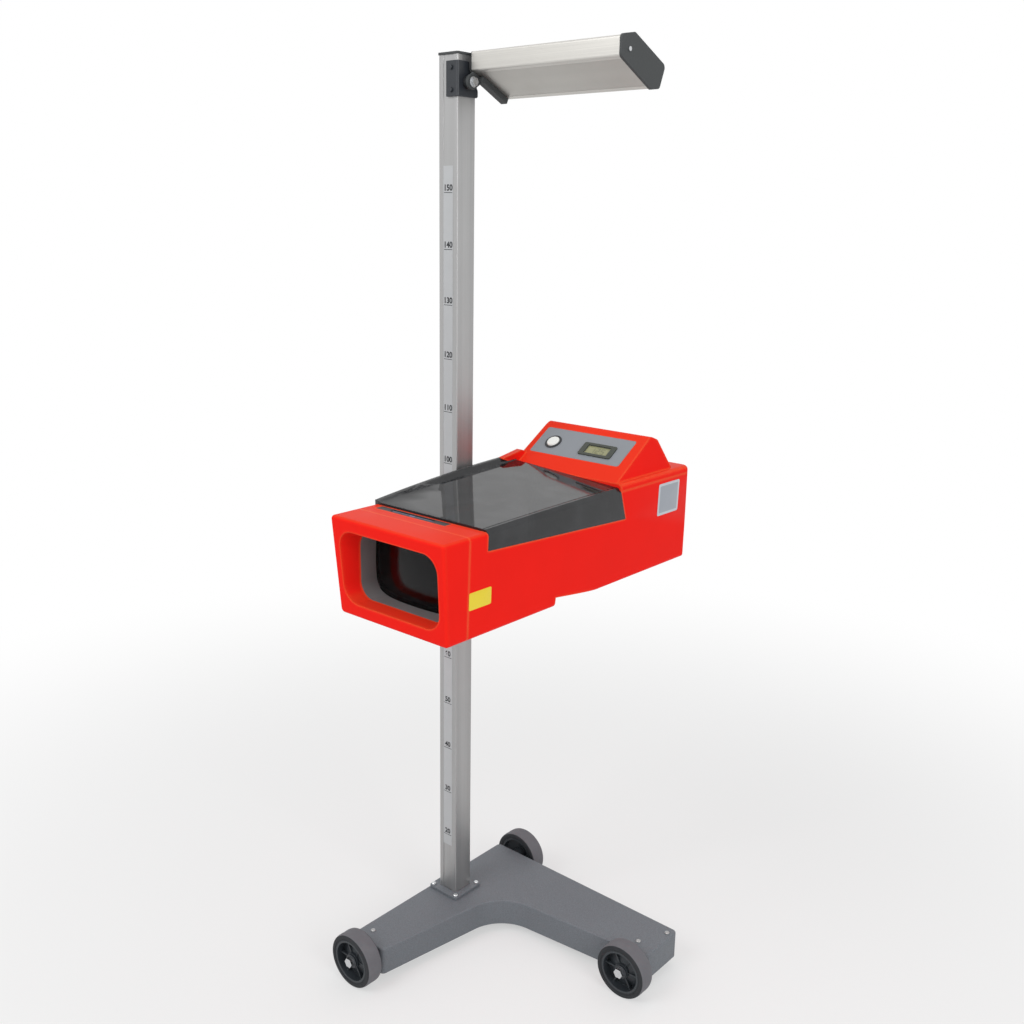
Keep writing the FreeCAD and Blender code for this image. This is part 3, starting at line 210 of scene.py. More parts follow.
class Graph:
    """Node tree of one material or world: makes its nodes, feeds their sockets and holds the shader."""

    def __init__(self, holder: bpy.types.Material | bpy.types.World) -> None:
        """Start with an empty tree.

        Args:
            holder: Material or world whose nodes are laid.
        """
        holder.use_nodes = True
        self.tree = holder.node_tree
        self.tree.nodes.clear()

    def node(self, kind: str, settings: dict[str, Any] | None = None,
             inputs: dict[Any, Any] | None = None) -> bpy.types.Node:
        """Add a node, make its settings, then feed its sockets.

        Args:
            kind: Type of the node.
            settings: Properties by name.
            inputs: Sockets by number, identifier or name, each with a value or a link.

        Returns:
            The new node.
        """
        made = self.tree.nodes.new(kind)
        for key, value in (settings or {}).items():
            setattr(made, key, value)
        for key, value in (inputs or {}).items():
            self._feed(made, key, value)
        return made

    def _feed(self, made: bpy.types.Node, key: Any, value: Any) -> None:
        """Link a socket, or set its own value.

        Args:
            made: Node whose input is fed.
            key: Number, identifier or name of the input.
            value: Value, socket, number, colour or vector.
        """
        if isinstance(key, int):
            socket = made.inputs[key]
        else:
            by_identifier = [entry for entry in made.inputs if entry.identifier == key]
            socket = by_identifier[0] if by_identifier else made.inputs[key]
        if isinstance(value, Value):
            self.tree.links.new(value.socket, socket)
        elif isinstance(value, bpy.types.NodeSocket):
            self.tree.links.new(value, socket)
        elif socket.type == "RGBA" and len(value) == 3:
            socket.default_value = (*value, 1.0)
        else:
            socket.default_value = value

    def math(self, operation: str, *terms: Number) -> Value:
        """Math node on one or two numbers."""
        made = self.node("ShaderNodeMath", {"operation": operation}, dict(enumerate(terms)))
        return Value(self, made.outputs[0])

    def mix(self, share: Number, first: Any, second: Any) -> bpy.types.NodeSocket:
        """Blend of two colours, by a share of the second.

        Args:
            share: Number from 0 to 1.
            first: Colour or colour socket.
            second: Colour or colour socket.

        Returns:
            The blended colour's socket.
        """
        inputs = {"Factor_Float": share, "A_Color": first, "B_Color": second}
        made = self.node("ShaderNodeMix", {"data_type": "RGBA"}, inputs)
        return next(entry for entry in made.outputs if entry.identifier == "Result_Color")

    def place(self, stretch: Sequence[float] = (1.0, 1.0, 1.0),
              centre: Sequence[float] = (0.0, 0.0, 0.0)) -> bpy.types.NodeSocket:
        """Object coordinates about a centre, stretched along each axis.

        Args:
            stretch: Factor along X, Y and Z.
            centre: Point that becomes the origin, in metres.

        Returns:
            The vector's socket.
        """
        start = self.node("ShaderNodeTexCoord").outputs["Object"]
        shift = tuple(-middle * factor for middle, factor in zip(centre, stretch))
        inputs = {"Vector": start, "Scale": tuple(stretch), "Location": shift}
        return self.node("ShaderNodeMapping", None, inputs).outputs["Vector"]

    def noise(self, size: float, detail: float = 2.0, stretch: Sequence[float] = (1.0, 1.0, 1.0)) -> Value:
        """Soft noise of about 0 to 1.

        Args:
            size: Size of its patches, in metres.
            detail: Octaves of finer noise.
            stretch: Factor along X, Y and Z; a small one draws the patches out.

        Returns:
            The noise as a number.
        """
        inputs = {"Vector": self.place(stretch), "Scale": 1.0 / size, "Detail": detail}
        return Value(self, self.node("ShaderNodeTexNoise", None, inputs).outputs[0])

    def part(self, vector: bpy.types.NodeSocket, axis: str) -> Value:
        """One part, X, Y or Z, of a vector."""
        return Value(self, self.node("ShaderNodeSeparateXYZ", None, {0: vector}).outputs[axis])

    def rounded(self, radius: float) -> bpy.types.NodeSocket:
        """Normal of the surface with its edges rounded by a radius."""
        return self.node("ShaderNodeBevel", {"samples": BEVEL_SAMPLES}, {"Radius": radius}).outputs[0]

    def worn(self, radius: float, low: float, high: float) -> Value:
        """Mask of the edges, used both as edge wear and as painted highlight: 0 on a flat, rising to 1 at a
        sharp edge.

        The turn of the surface is one less the dot product of the true normal and the rounded one; the mask
        is a smooth step of that turn times a gain.

        Args:
            radius: Reach of the rounding, in metres.
            low: Turn, after the gain, where the mask starts.
            high: Turn, after the gain, where the mask is full.

        Returns:
            The mask as a number.
        """
        true_normal = self.node("ShaderNodeNewGeometry").outputs["True Normal"]
        inputs = {0: self.rounded(radius), 1: true_normal}
        dot = self.node("ShaderNodeVectorMath", {"operation": "DOT_PRODUCT"}, inputs)
        turn = 1.0 - Value(self, dot.outputs["Value"])
        return (turn * EDGE_GAIN).band(low, high)

    def bump(self, height: Value, depth: float, radius: float = 0.0) -> bpy.types.NodeSocket:
        """Normal of a relief, on edges rounded by a radius.

        Args:
            height: Relief from 0 to 1.
            depth: Depth that 1 stands for, in metres.
            radius: Rounding of the edges under the relief, or 0.

        Returns:
            The normal's socket.
        """
        inputs = {"Height": height, "Distance": depth, "Strength": 1.0}
        if radius:
            inputs["Normal"] = self.rounded(radius)
        return self.node("ShaderNodeBump", None, inputs).outputs[0]

    def surface(self, **sockets: Any) -> None:
        """Close the tree with a Principled shader.

        Args:
            **sockets: Inputs by name, with underscores for spaces.
        """
        inputs = {name.replace("_", " "): value for name, value in sockets.items()}
        shader = self.node("ShaderNodeBsdfPrincipled", None, inputs)
        self.close(shader.outputs[0])

    def close(self, shader: bpy.types.NodeSocket) -> None:
        """Lead a shader to the material's output."""
        self.node("ShaderNodeOutputMaterial", None, {"Surface": shader})


# Finishes

# Octaves of noise in patches and in clouds
BROAD = 3.0
CLOUDY = 4.0


@dataclass(frozen=True)
class Finish:
    """A finish of the object: its slot in the record and its main colour; sizes are in metres."""

    slot: Slot
    colour: Colour

    @property
    def name(self) -> str:
        """Name of the finish's material."""
        return f"{self.slot.value}_finish"

    def material(self) -> bpy.types.Material:
        """Material of this finish, made once.

        Returns:
            The material, ready for a mesh.
        """
        known = bpy.data.materials.get(self.name)
        if known is not None:
            return known
        made = bpy.data.materials.new(self.name)
        self.paint(Graph(made))
        return made

    def paint(self, graph: Graph) -> None:
        """Lay the finish down in a node tree."""
        raise NotImplementedError

    def shade(self, factor: float) -> Colour:
        """The main colour made lighter or darker by a factor."""
        return tuple(min(part * factor, 1.0) for part in self.colour)

    def swing(self, graph: Graph, share: Value, spread: float) -> bpy.types.NodeSocket:
        """The main colour, darker by a spread where a share is 0 and lighter by it where the share is 1."""
        return graph.mix(share, self.shade(1.0 - spread), self.shade(1.0 + spread))


@dataclass(frozen=True)
class Moulded(Finish):
    """Moulded plastic: slight mottle, fine grain, painted highlights on its edges and a painted sheen on
    what faces up.
    """

    roughness: float = 0.4
    specular: float = 0.5
    grain: float = 0.0008
    depth: float = 0.00003
    patch: float = 0.09
    mottle: float = 0.06
    patch_gloss: float = 0.12
    grain_gloss: float = 0.06
    rounding: float = 0.0012
    # Painted highlight on edges: reach of the edge mask, its band, and the share, tone and colour of the
    # highlight
    wear_reach: float = 4.0
    wear_band: Band = (0.05, 0.9)
    edge_share: float = 0.5
    edge_tone: float = 1.25
    edge_colour: Colour | None = None
    # Painted sheen on faces that point up: its colour, the band of the normal's Z, and its share
    faded: Colour | None = None
    fade_slopes: Band = (0.4, 0.8)
    fade_share: float = 0.5

    def paint(self, graph: Graph) -> None:
        """Mottle the colour in patches, paint a sheen on what faces up, paint highlights on the edges, and
        press a grain in.

        Args:
            graph: Node tree to lay the finish in.
        """
        patch = graph.noise(self.patch, BROAD)
        colour = self.swing(graph, patch, self.mottle)
        # Painted sheen: where the object normal points up, the colour turns a paler orange, standing in for
        # light off those faces
        if self.faded:
            facing = graph.node("ShaderNodeTexCoord").outputs["Normal"]
            sheen_mask = graph.part(facing, "Z").band(*self.fade_slopes)
            colour = graph.mix(sheen_mask * self.fade_share, colour, self.faded)
        # Painted highlight: sharp edges are lightened, standing in for light caught on rounded edges
        worn = graph.worn(self.wear_reach * self.rounding, *self.wear_band)
        colour = graph.mix(worn * self.edge_share, colour, self.edge_colour or self.shade(self.edge_tone))
        grain = graph.noise(self.grain)
        gloss = self.roughness + patch.swung(self.patch_gloss) + grain.swung(self.grain_gloss)
        normal = graph.bump(grain, self.depth, self.rounding)
        graph.surface(Base_Color=colour, Roughness=gloss, Normal=normal, Specular_IOR_Level=self.specular)


@dataclass(frozen=True)
class Coated(Finish):
    """Baked coat with a pebbled skin and flecks of a second tone."""

    roughness: float = 0.55
    pebble: float = 0.0016
    depth: float = 0.00012
    rounding: float = 0.0015
    fleck: float = 0.16
    fleck_band: Band = (0.3, 0.7)
    cloud: float = 0.16
    cloud_start: float = 0.35
    cloud_share: float = 0.5
    cloud_tone: float = 0.86
    cloud_gloss: float = 0.2
    rub_reach: float = 0.004
    rub_band: Band = (0.1, 1.0)
    rub_patch: float = 0.02
    rub_patch_band: Band = (0.35, 0.65)
    rub_share: float = 0.36
    rub_tone: float = 1.7

    def paint(self, graph: Graph) -> None:
        """Fleck the coat, raise its pebbles, and rub its edges a little paler.

        Args:
            graph: Node tree to lay the finish in.
        """
        pebbles = graph.noise(self.pebble)
        cloud = graph.noise(self.cloud, BROAD)
        colour = self.swing(graph, pebbles.band(*self.fleck_band), self.fleck)
        dulled = (cloud - self.cloud_start) * self.cloud_share
        colour = graph.mix(dulled, colour, self.shade(self.cloud_tone))
        patches = graph.noise(self.rub_patch, BROAD).band(*self.rub_patch_band)
        rubbed = graph.worn(self.rub_reach, *self.rub_band) * patches
        colour = graph.mix(rubbed * self.rub_share, colour, self.shade(self.rub_tone))
        gloss = self.roughness + cloud.swung(self.cloud_gloss)
        normal = graph.bump(pebbles, self.depth, self.rounding)
        graph.surface(Base_Color=colour, Roughness=gloss, Normal=normal)


@dataclass(frozen=True)
class Drawn(Finish):
    """Drawn or brushed metal with fine lines along one axis."""

    along: Triple = (1.0, 1.0, 0.004)
    line: float = 0.0011
    broad_lines: float = 14.0
    fine_share: float = 0.6
    tone_band: Band = (0.25, 0.75)
    contrast: float = 0.1
    roughness: float = 0.42
    metallic: float = 0.85
    line_gloss: float = 0.22
    smear: float = 0.07
    smear_start: float = 0.45
    smear_share: float = 0.35
    smear_tone: float = 0.82
    smear_gloss: float = 0.12
    depth: float = 0.00002
    rounding: float = 0.0008

    def paint(self, graph: Graph) -> None:
        """Draw fine and broad lines out along the metal, and smear a few dull patches over them.

        Args:
            graph: Node tree to lay the finish in.
        """
        lines = graph.noise(self.line, BROAD, self.along)
        bands = graph.noise(self.line * self.broad_lines, stretch=self.along)
        smear = graph.noise(self.smear, BROAD)
        tone = lines * self.fine_share + bands * (1.0 - self.fine_share)
        colour = self.swing(graph, tone.band(*self.tone_band), self.contrast)
        dulled = (smear - self.smear_start) * self.smear_share
        colour = graph.mix(dulled, colour, self.shade(self.smear_tone))
        gloss = self.roughness + lines.swung(self.line_gloss) + smear.swung(self.smear_gloss)
        normal = graph.bump(lines, self.depth, self.rounding)
        graph.surface(Base_Color=colour, Metallic=self.metallic, Roughness=gloss, Normal=normal)


@dataclass(frozen=True)
class Plated(Finish):
    """Plated or sintered metal with a cloudy, slightly scratched skin."""

    roughness: float = 0.3
    cloud_size: float = 0.006
    cloud_gloss: float = 0.25
    dull: float = 0.82
    bright: float = 1.12
    scratch: float = 0.0005
    along: Triple = (1.0, 0.08, 1.0)
    depth: float = 0.00001
    rounding: float = 0.0005

    def paint(self, graph: Graph) -> None:
        """Cloud the metal's colour and gloss, scratch it finely, and round its edges.

        Args:
            graph: Node tree to lay the finish in.
        """
        cloud = graph.noise(self.cloud_size, CLOUDY)
        scratch = graph.noise(self.scratch, stretch=self.along)
        colour = graph.mix(cloud, self.shade(self.dull), self.shade(self.bright))
        gloss = self.roughness + cloud.swung(self.cloud_gloss)
        normal = graph.bump(scratch, self.depth, self.rounding)
        graph.surface(Base_Color=colour, Metallic=1.0, Roughness=gloss, Normal=normal)


@dataclass(frozen=True)
class Elastic(Finish):
    """Grey elastic of a tyre: matt, dusty where it rolls, with darker walls."""

    roughness: float = 0.72
    speckle: float = 0.0009
    spread: float = 0.1
    depth: float = 0.00005
    rounding: float = 0.001
    dust: float = 0.022
    dust_band: Band = (0.42, 0.72)
    dust_share: float = 0.2
    dust_gloss: float = 0.12
    dust_colour: Colour = srgb(138, 138, 141)
    wall: Colour = srgb(32, 35, 39)
    wall_band: Band = (0.88, 0.93)

    def paint(self, graph: Graph) -> None:
        """Speckle the elastic, cloud it with pale floor dust, and darken it where it is marked as wall.

        Args:
            graph: Node tree to lay the finish in.
        """
        speckle = graph.noise(self.speckle)
        dust = graph.noise(self.dust, CLOUDY).band(*self.dust_band)
        colour = self.swing(graph, speckle, self.spread)
        colour = graph.mix(dust * self.dust_share, colour, self.dust_colour)
        mark = graph.node("ShaderNodeAttribute", {"attribute_name": WALL_MARK})
        wall = Value(graph, mark.outputs["Fac"]).band(*self.wall_band)
        colour = graph.mix(wall, colour, self.wall)
        gloss = self.roughness + dust * self.dust_gloss
        normal = graph.bump(speckle, self.depth, self.rounding)
        graph.surface(Base_Color=colour, Roughness=gloss, Normal=normal)


@dataclass(frozen=True)
class Smoked(Finish):
    """Smoked clear sheet, polished, with a little haze and dust on it."""

    opacity: float = 0.8
    index: float = 1.47
    roughness: float = 0.05
    haze: float = 0.05
    haze_band: Band = (0.35, 0.8)
    haze_share: float = 0.5
    haze_tone: float = 2.4
    haze_opacity: float = 0.08
    haze_gloss: float = 0.05
    speck: float = 0.0016
    speck_band: Band = (0.66, 0.78)
    speck_share: float = 0.06
    depth: float = 0.00001
    rounding: float = 0.0012

    def paint(self, graph: Graph) -> None:
        """Tint the sheet evenly, and let haze make it a little paler and less clear in places.

        Args:
            graph: Node tree to lay the finish in.
        """
        haze = graph.noise(self.haze, CLOUDY).band(*self.haze_band)
        specks = graph.noise(self.speck).band(*self.speck_band)
        pale = haze * self.haze_share + specks * self.speck_share
        colour = graph.mix(pale, self.colour, self.shade(self.haze_tone))
        cover = self.opacity + haze * self.haze_opacity
        gloss = self.roughness + haze * self.haze_gloss
        normal = graph.bump(haze, self.depth, self.rounding)
        graph.surface(Base_Color=colour, Roughness=gloss, Alpha=cover, IOR=self.index, Normal=normal)


@dataclass(frozen=True)
class ClearGlass(Finish):
    """Polished clear piece that the light passes through."""

    index: float = 1.5
    roughness: float = 0.02
    dust: float = 0.012
    dust_band: Band = (0.5, 0.85)
    dust_share: float = 0.5
    dust_tone: float = 0.9
    dust_gloss: float = 0.06

    def paint(self, graph: Graph) -> None:
        """Tint the glass and leave a trace of dust on its gloss.

        Args:
            graph: Node tree to lay the finish in.
        """
        dust = graph.noise(self.dust, CLOUDY).band(*self.dust_band)
        colour = graph.mix(dust * self.dust_share, self.colour, self.shade(self.dust_tone))
        gloss = self.roughness + dust * self.dust_gloss
        graph.surface(Base_Color=colour, Roughness=gloss, IOR=self.index, Transmission_Weight=1.0)


@dataclass(frozen=True)
class Vial(Finish):
    """Level vial: a tube of tinted fluid with a bubble between two dark rings."""

    centre: Triple = (0.0, 0.0, 0.0)
    bubble: float = 0.006
    bubble_edge: float = 0.0008
    bubble_tone: float = 2.6
    ring: float = 0.0085
    ring_width: float = 0.0012
    ring_edge: Band = (0.4, 0.6)
    ring_colour: Colour = srgb(22, 24, 28)
    cloud: float = 0.004
    spread: float = 0.1
    roughness: float = 0.14
    cloud_gloss: float = 0.04

    def paint(self, graph: Graph) -> None:
        """Lighten the fluid within the bubble's half length of the middle, and rule a ring on each side.

        Args:
            graph: Node tree to lay the finish in.
        """
        along = abs(graph.part(graph.place(centre=self.centre), "X"))
        cloud = graph.noise(self.cloud)
        bubble = 1.0 - along.band(self.bubble - self.bubble_edge, self.bubble)
        clear, faint = (self.ring_width * share for share in self.ring_edge)
        ring = 1.0 - abs(along - self.ring).band(clear, faint)
        colour = self.swing(graph, cloud, self.spread)
        colour = graph.mix(bubble, colour, self.shade(self.bubble_tone))
        colour = graph.mix(ring, colour, self.ring_colour)
        graph.surface(Base_Color=colour, Roughness=self.roughness + cloud * self.cloud_gloss)


@dataclass(frozen=True)
class Film(Finish):
    """Printed film or thin plate: even colour, a pressed grain and a soft gloss."""

    label: str = "film"
    roughness: float = 0.5
    metallic: float = 0.0
    cloud: float = 0.03
    variation: float = 0.05
    cloud_gloss: float = 0.14
    grain: float = 0.0006
    depth: float = 0.00002

    @property
    def name(self) -> str:
        """Name of the film's material, by its label, since one slot has several films."""
        return f"{self.slot.value}_{self.label}"

    def paint(self, graph: Graph) -> None:
        """Cloud the colour slightly and press a fine grain into the film.

        Args:
            graph: Node tree to lay the finish in.
        """
        cloud = graph.noise(self.cloud, BROAD)
        colour = self.swing(graph, cloud, self.variation)
        gloss = self.roughness + cloud.swung(self.cloud_gloss)
        normal = graph.bump(graph.noise(self.grain), self.depth)
        graph.surface(Base_Color=colour, Metallic=self.metallic, Roughness=gloss, Normal=normal)


@dataclass(frozen=True)
class Board(Finish):
    """Coated circuit board with copper tracks showing through."""

    track: float = 0.004
    track_band: Band = (0.28, 0.34)
    track_tone: float = 1.6
    depth: float = 0.00004
    roughness: float = 0.35
    coat_gloss: float = 0.2

    def paint(self, graph: Graph) -> None:
        """Lay straight-edged copper patches under the green coat.

        Args:
            graph: Node tree to lay the finish in.
        """
        inputs = {"Vector": graph.place(), "Scale": 1.0 / self.track}
        settings = {"distance": "CHEBYCHEV", "feature": "F1"}
        cells = graph.node("ShaderNodeTexVoronoi", settings, inputs)
        coat = Value(graph, cells.outputs["Distance"]).band(*self.track_band)
        colour = graph.mix(coat, self.shade(self.track_tone), self.colour)
        gloss = self.roughness + coat * self.coat_gloss
        graph.surface(Base_Color=colour, Roughness=gloss, Normal=graph.bump(coat, self.depth))


@dataclass(frozen=True)
class AimingFace(Finish):
    """White face of the aiming screen with thin grey lines to read the beam by."""

    pitch: float = 0.02
    line: float = 0.0005
    line_edge: Band = (0.7, 1.3)
    line_colour: Colour = srgb(90, 92, 95)
    shadow: float = 0.04
    shadow_tone: float = 0.94
    roughness: float = 0.6
    line_gloss: float = 0.15

    def paint(self, graph: Graph) -> None:
        """Rule lines across and up the face: a line where the place wraps within its width of a pitch.

        Args:
            graph: Node tree to lay the finish in.
        """
        here = graph.place()
        clear, faint = (self.line * share for share in self.line_edge)
        marks: list[Value] = []
        for axis in ("X", "Z"):
            wrapped = graph.math("PINGPONG", graph.part(here, axis), self.pitch / 2)
            marks.append(1.0 - wrapped.band(clear, faint))
        lines = graph.math("MAXIMUM", *marks)
        colour = graph.mix(graph.noise(self.shadow, BROAD), self.shade(self.shadow_tone), self.colour)
        colour = graph.mix(lines, colour, self.line_colour)
        graph.surface(Base_Color=colour, Roughness=self.roughness - lines * self.line_gloss)


# The red shell carries painted light: an orange highlight on its edges and an orange sheen on upward faces
RED = Moulded(Slot.RED, srgb(247, 34, 26), roughness=0.36, grain=0.0022, depth=0.00002, mottle=0.05,
              edge_colour=srgb(255, 112, 66), edge_share=0.65, rounding=0.002, specular=0.03,
              faded=srgb(228, 70, 40))
BASE_COAT = Coated(Slot.BASE, srgb(109, 114, 120))
BLACK_COAT = Coated(Slot.DARK, srgb(40, 44, 50), roughness=0.42, pebble=0.0009, depth=0.00004)
COLUMN_METAL = Drawn(Slot.COLUMN, srgb(172, 172, 172))
VISOR_METAL = Drawn(Slot.VISOR, srgb(200, 198, 193), along=(0.004, 1.0, 1.0), roughness=0.38)
SIGHT_STRIP = Drawn(Slot.MIRROR, srgb(180, 178, 173), along=(0.003, 1.0, 1.0), line=0.002, roughness=0.4,
                    metallic=0.9, contrast=0.04)
BRIGHT_STEEL = Plated(Slot.BRIGHT, srgb(206, 208, 210))
BRONZE = Plated(Slot.BRONZE, srgb(176, 134, 84), roughness=0.45, cloud_size=0.0015)
TYRE = Elastic(Slot.TYRE, srgb(104, 104, 109))
HUB_BLACK = Moulded(Slot.HUB, srgb(46, 51, 56), roughness=0.5, depth=0.00005)
BLACK = Moulded(Slot.BLACK, srgb(30, 32, 35), roughness=0.48, depth=0.00004)
CAP_GREY = Moulded(Slot.VISOR_CAP, srgb(60, 63, 64), roughness=0.62, grain=0.0022, depth=0.0002,
                   mottle=0.16)
NYLON = Moulded(Slot.NYLON, srgb(226, 223, 214), roughness=0.5)
FRAME_GREY = Moulded(Slot.FRAME, srgb(128, 130, 131), roughness=0.36, mottle=0.08)
WHITE = Moulded(Slot.WHITE, srgb(238, 238, 234), roughness=0.25, mottle=0.02, edge_share=0.2)
DISPLAY_DARK = Moulded(Slot.DISPLAY, srgb(52, 57, 48), roughness=0.25, mottle=0.05)
SMOKED = Smoked(Slot.SMOKED, srgb(34, 35, 37))
# Painted shade: the lens glass is tinted dark grey so that it looks as dark as the shaded chamber behind it
SHADE_TINTED_LENS = ClearGlass(Slot.LENS, srgb(112, 110, 116), index=1.28, roughness=0.14)
SENSOR = ClearGlass(Slot.SENSOR, srgb(60, 60, 110))
PANEL = Film(Slot.PANEL, srgb(135, 139, 145), roughness=0.5, label="panel_film")
PANE = Film(Slot.PANE, srgb(150, 150, 112), roughness=0.22, label="liquid_crystal")
SCALE_FILM = Film(Slot.SCALE, srgb(186, 188, 190), roughness=0.45, metallic=0.3, label="scale_film")
SCALE_INK = Film(Slot.SCALE, srgb(28, 30, 34), roughness=0.5, label="scale_ink")
SIDE_PLATE = Film(Slot.COLUMN, srgb(160, 165, 173), roughness=0.35, metallic=0.4, label="side_plate")
PLATE_RIM = Film(Slot.COLUMN, srgb(196, 202, 208), roughness=0.4, metallic=0.3, label="plate_rim")
YELLOW_PATCH = Film(Slot.SCALE, srgb(238, 214, 46), roughness=0.4, label="yellow_patch")
SEGMENT_INK = Film(Slot.DISPLAY, srgb(92, 94, 68), roughness=0.3, label="segment_ink")
BOARD = Board(Slot.BOARD, srgb(38, 104, 62))
SCREEN = AimingFace(Slot.SCREEN, srgb(226, 226, 221))


# Surfaces

@dataclass
class Surface:
    """Points and faces of a mesh, as whole arrays."""

    points: Array
    faces: Array

    def triangles(self) -> "Surface":
        """The surface with each quad cut along a diagonal.

        Returns:
            The same points under triangles only.
        """
        if self.faces.shape[1] == 3:
            return self
        halves = np.vstack([self.faces[:, [0, 1, 2]], self.faces[:, [0, 2, 3]]])
        return Surface(self.points, halves)

    def welded(self) -> "Surface":
        """Triangles on shared points: points within a grain become one, and collapsed faces go.

        Returns:
            The welded triangles.
        """
        cut = self.triangles()
        keys = np.round(cut.points / WELD_GRAIN).astype(np.int64)
        _, first, index = np.unique(keys, axis=0, return_index=True, return_inverse=True)
        faces = index.reshape(-1)[cut.faces]
        a, b, c = faces.T
        whole = (a != b) & (b != c) & (c != a)
        return Surface(cut.points[first], faces[whole])


def merged(parts: Sequence[Surface]) -> Surface:
    """Several surfaces with the same kind of face as one.

    Args:
        parts: Surfaces, in order.

    Returns:
        One surface with all their points and faces.
    """
    starts = np.cumsum([0] + [len(part.points) for part in parts[:-1]])
    faces = [part.faces + start for part, start in zip(parts, starts)]
    return Surface(np.vstack([part.points for part in parts]), np.vstack(faces))


def grid_faces(rows: int, columns: int, close_rows: bool = False, close_columns: bool = False) -> Array:
    """Quads between neighbours of a grid of points that are kept row after row.

    Args:
        rows: Number of rows.
        columns: Number of points in a row.
        close_rows: Whether the last row joins the first.
        close_columns: Whether the last point of a row joins its first.

    Returns:
        One row of four point numbers for each quad.
    """
    row, column = np.meshgrid(np.arange(rows if close_rows else rows - 1),
                              np.arange(columns if close_columns else columns - 1), indexing="ij")
    below = (row + 1) % rows
    right = (column + 1) % columns
    here = row * columns
    under = below * columns
    corners = [here + column, here + right, under + right, under + column]
    return np.stack(corners, -1).reshape(-1, 4)


def across(axis: Array) -> tuple[Array, Array]:
    """Two unit vectors at right angles to an axis and to each other.

    Args:
        axis: Unit vector.

    Returns:
        The two vectors.
    """
    helper = np.eye(3)[int(np.argmin(np.abs(axis)))]
    first = np.cross(axis, helper)
    first = first / np.linalg.norm(first)
    return first, np.cross(axis, first)


def turned(profile: Array, centre: Array, axis: Array, segments: int) -> Surface:
    """Ring of revolution: centre + axis * along + radius * (cos t * first + sin t * second).

    Args:
        profile: Rows of radius and distance along the axis, round a closed outline.
        centre: Point that distances are counted from.
        axis: Unit vector of the axis.
        segments: Points around.

    Returns:
        The closed ring.
    """
    turn = np.linspace(0.0, 2.0 * math.pi, segments, endpoint=False)
    first, second = across(axis)
    spokes = np.cos(turn)[:, None] * first + np.sin(turn)[:, None] * second
    radius, along = profile.T
    points = centre + along[:, None, None] * axis + radius[:, None, None] * spokes[None]
    faces = grid_faces(len(profile), segments, True, True)
    return Surface(points.reshape(-1, 3), faces).welded()


def rounded_outline(width: float, height: float, radius: float) -> Array:
    """Rectangle with round corners about the origin: each corner is a quarter circle.

    Args:
        width: Full width.
        height: Full height.
        radius: Corner radius.

    Returns:
        Rows of two coordinates, anticlockwise.
    """
    quarter = np.linspace(0.0, math.pi / 2, CORNER_STEPS)
    turn = (quarter[None] + np.arange(4)[:, None] * math.pi / 2).reshape(-1)
    side = np.repeat(np.array([[1, 1], [-1, 1], [-1, -1], [1, -1]]), CORNER_STEPS, axis=0)
    middle = side * np.array([width / 2 - radius, height / 2 - radius])
    return middle + radius * np.stack([np.cos(turn), np.sin(turn)], -1)


@dataclass(frozen=True)
class Plane:
    """A flat place on the object: a point, two directions along it and its outward normal."""

    origin: Array
    right: Array
    up: Array

    @property
    def normal(self) -> Array:
        """Outward direction."""
        return np.cross(self.right, self.up)

    def at(self, places: Array, lift: Array) -> Array:
        """Points in space of places (across, up) on the plane, lifted off it.

        Args:
            places: Rows of two distances.
            lift: Height over the plane, one for each place.

        Returns:
            Rows of three coordinates.
        """
        raised = lift[:, None] * self.normal
        return self.origin + places[:, :1] * self.right + places[:, 1:2] * self.up + raised


def slab(plane: Plane, width: float, height: float, radius: float, thick: float, soft: float,
         middle: Sequence[float]) -> Surface:
    """Thin plate on a plane: outlines stacked from its foot up, drawn in over a quarter round, then closed.

    Args:
        plane: Plane that it lies on.
        width: Size across.
        height: Size up the plane.
        radius: Corner radius.
        thick: Thickness.
        soft: Radius of its upper edge.
        middle: Place of its centre on the plane.

    Returns:
        The closed plate.
    """
    bend = np.linspace(0.0, math.pi / 2, EDGE_STEPS)
    lifts = np.concatenate([[0.0, 0.0], thick - soft + soft * np.sin(bend), [thick]])
    insets = np.concatenate([[0.0, 0.0], soft * (1.0 - np.cos(bend)), [0.0]])
    scale = np.ones(len(lifts))
    scale[0] = scale[-1] = 0.0
    outline = rounded_outline(width, height, radius)
    size = np.array([width, height])
    rings = outline[None] * (1.0 - 2.0 * insets[:, None, None] / size) * scale[:, None, None]
    places = rings.reshape(-1, 2) + np.asarray(middle)
    points = plane.at(places, np.repeat(lifts, len(outline)))
    return Surface(points, grid_faces(len(lifts), len(outline), False, True)).welded()


# Frame and pieces

def node_surface(node: str) -> Surface:
    """Merged copy of a CAD node's triangles.

    Args:
        node: Name of the node.

    Returns:
        Its triangles on shared points.
    """
    mesh = frame["nodes"][node].data
    mesh.calc_loop_triangles()
    points = np.empty(len(mesh.vertices) * 3)
    mesh.vertices.foreach_get("co", points)
    faces = np.empty(len(mesh.loop_triangles) * 3, dtype=np.int64)
    mesh.loop_triangles.foreach_get("vertices", faces)
    return Surface(points.reshape(-1, 3), faces.reshape(-1, 3)).welded()


def node_box(node: str) -> tuple[Array, Array]:
    """Lowest and highest corner of a CAD node, as arrays."""
    low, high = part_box(node)
    return np.array(low), np.array(high)


def body_of(node: str) -> str:
    """Name of the body that a CAD node belongs to."""
    return frame["nodes"][node]["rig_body"]


def largest_flat(node: str, direction: Array) -> tuple[Array, Array]:
    """Largest triangle of a node that faces a direction within about 25 degrees.

    Args:
        node: Name of the node.
        direction: Unit vector that the face looks along.

    Returns:
        A point of the face and its unit normal.
    """
    surface = node_surface(node)
    a, b, c = (surface.points[surface.faces[:, corner]] for corner in range(3))
    normals = np.cross(b - a, c - a)
    areas = np.linalg.norm(normals, axis=1)
    best = int(np.argmax(np.where(normals @ direction > FACING * areas, areas, 0.0)))
    return a[best], normals[best] / areas[best]


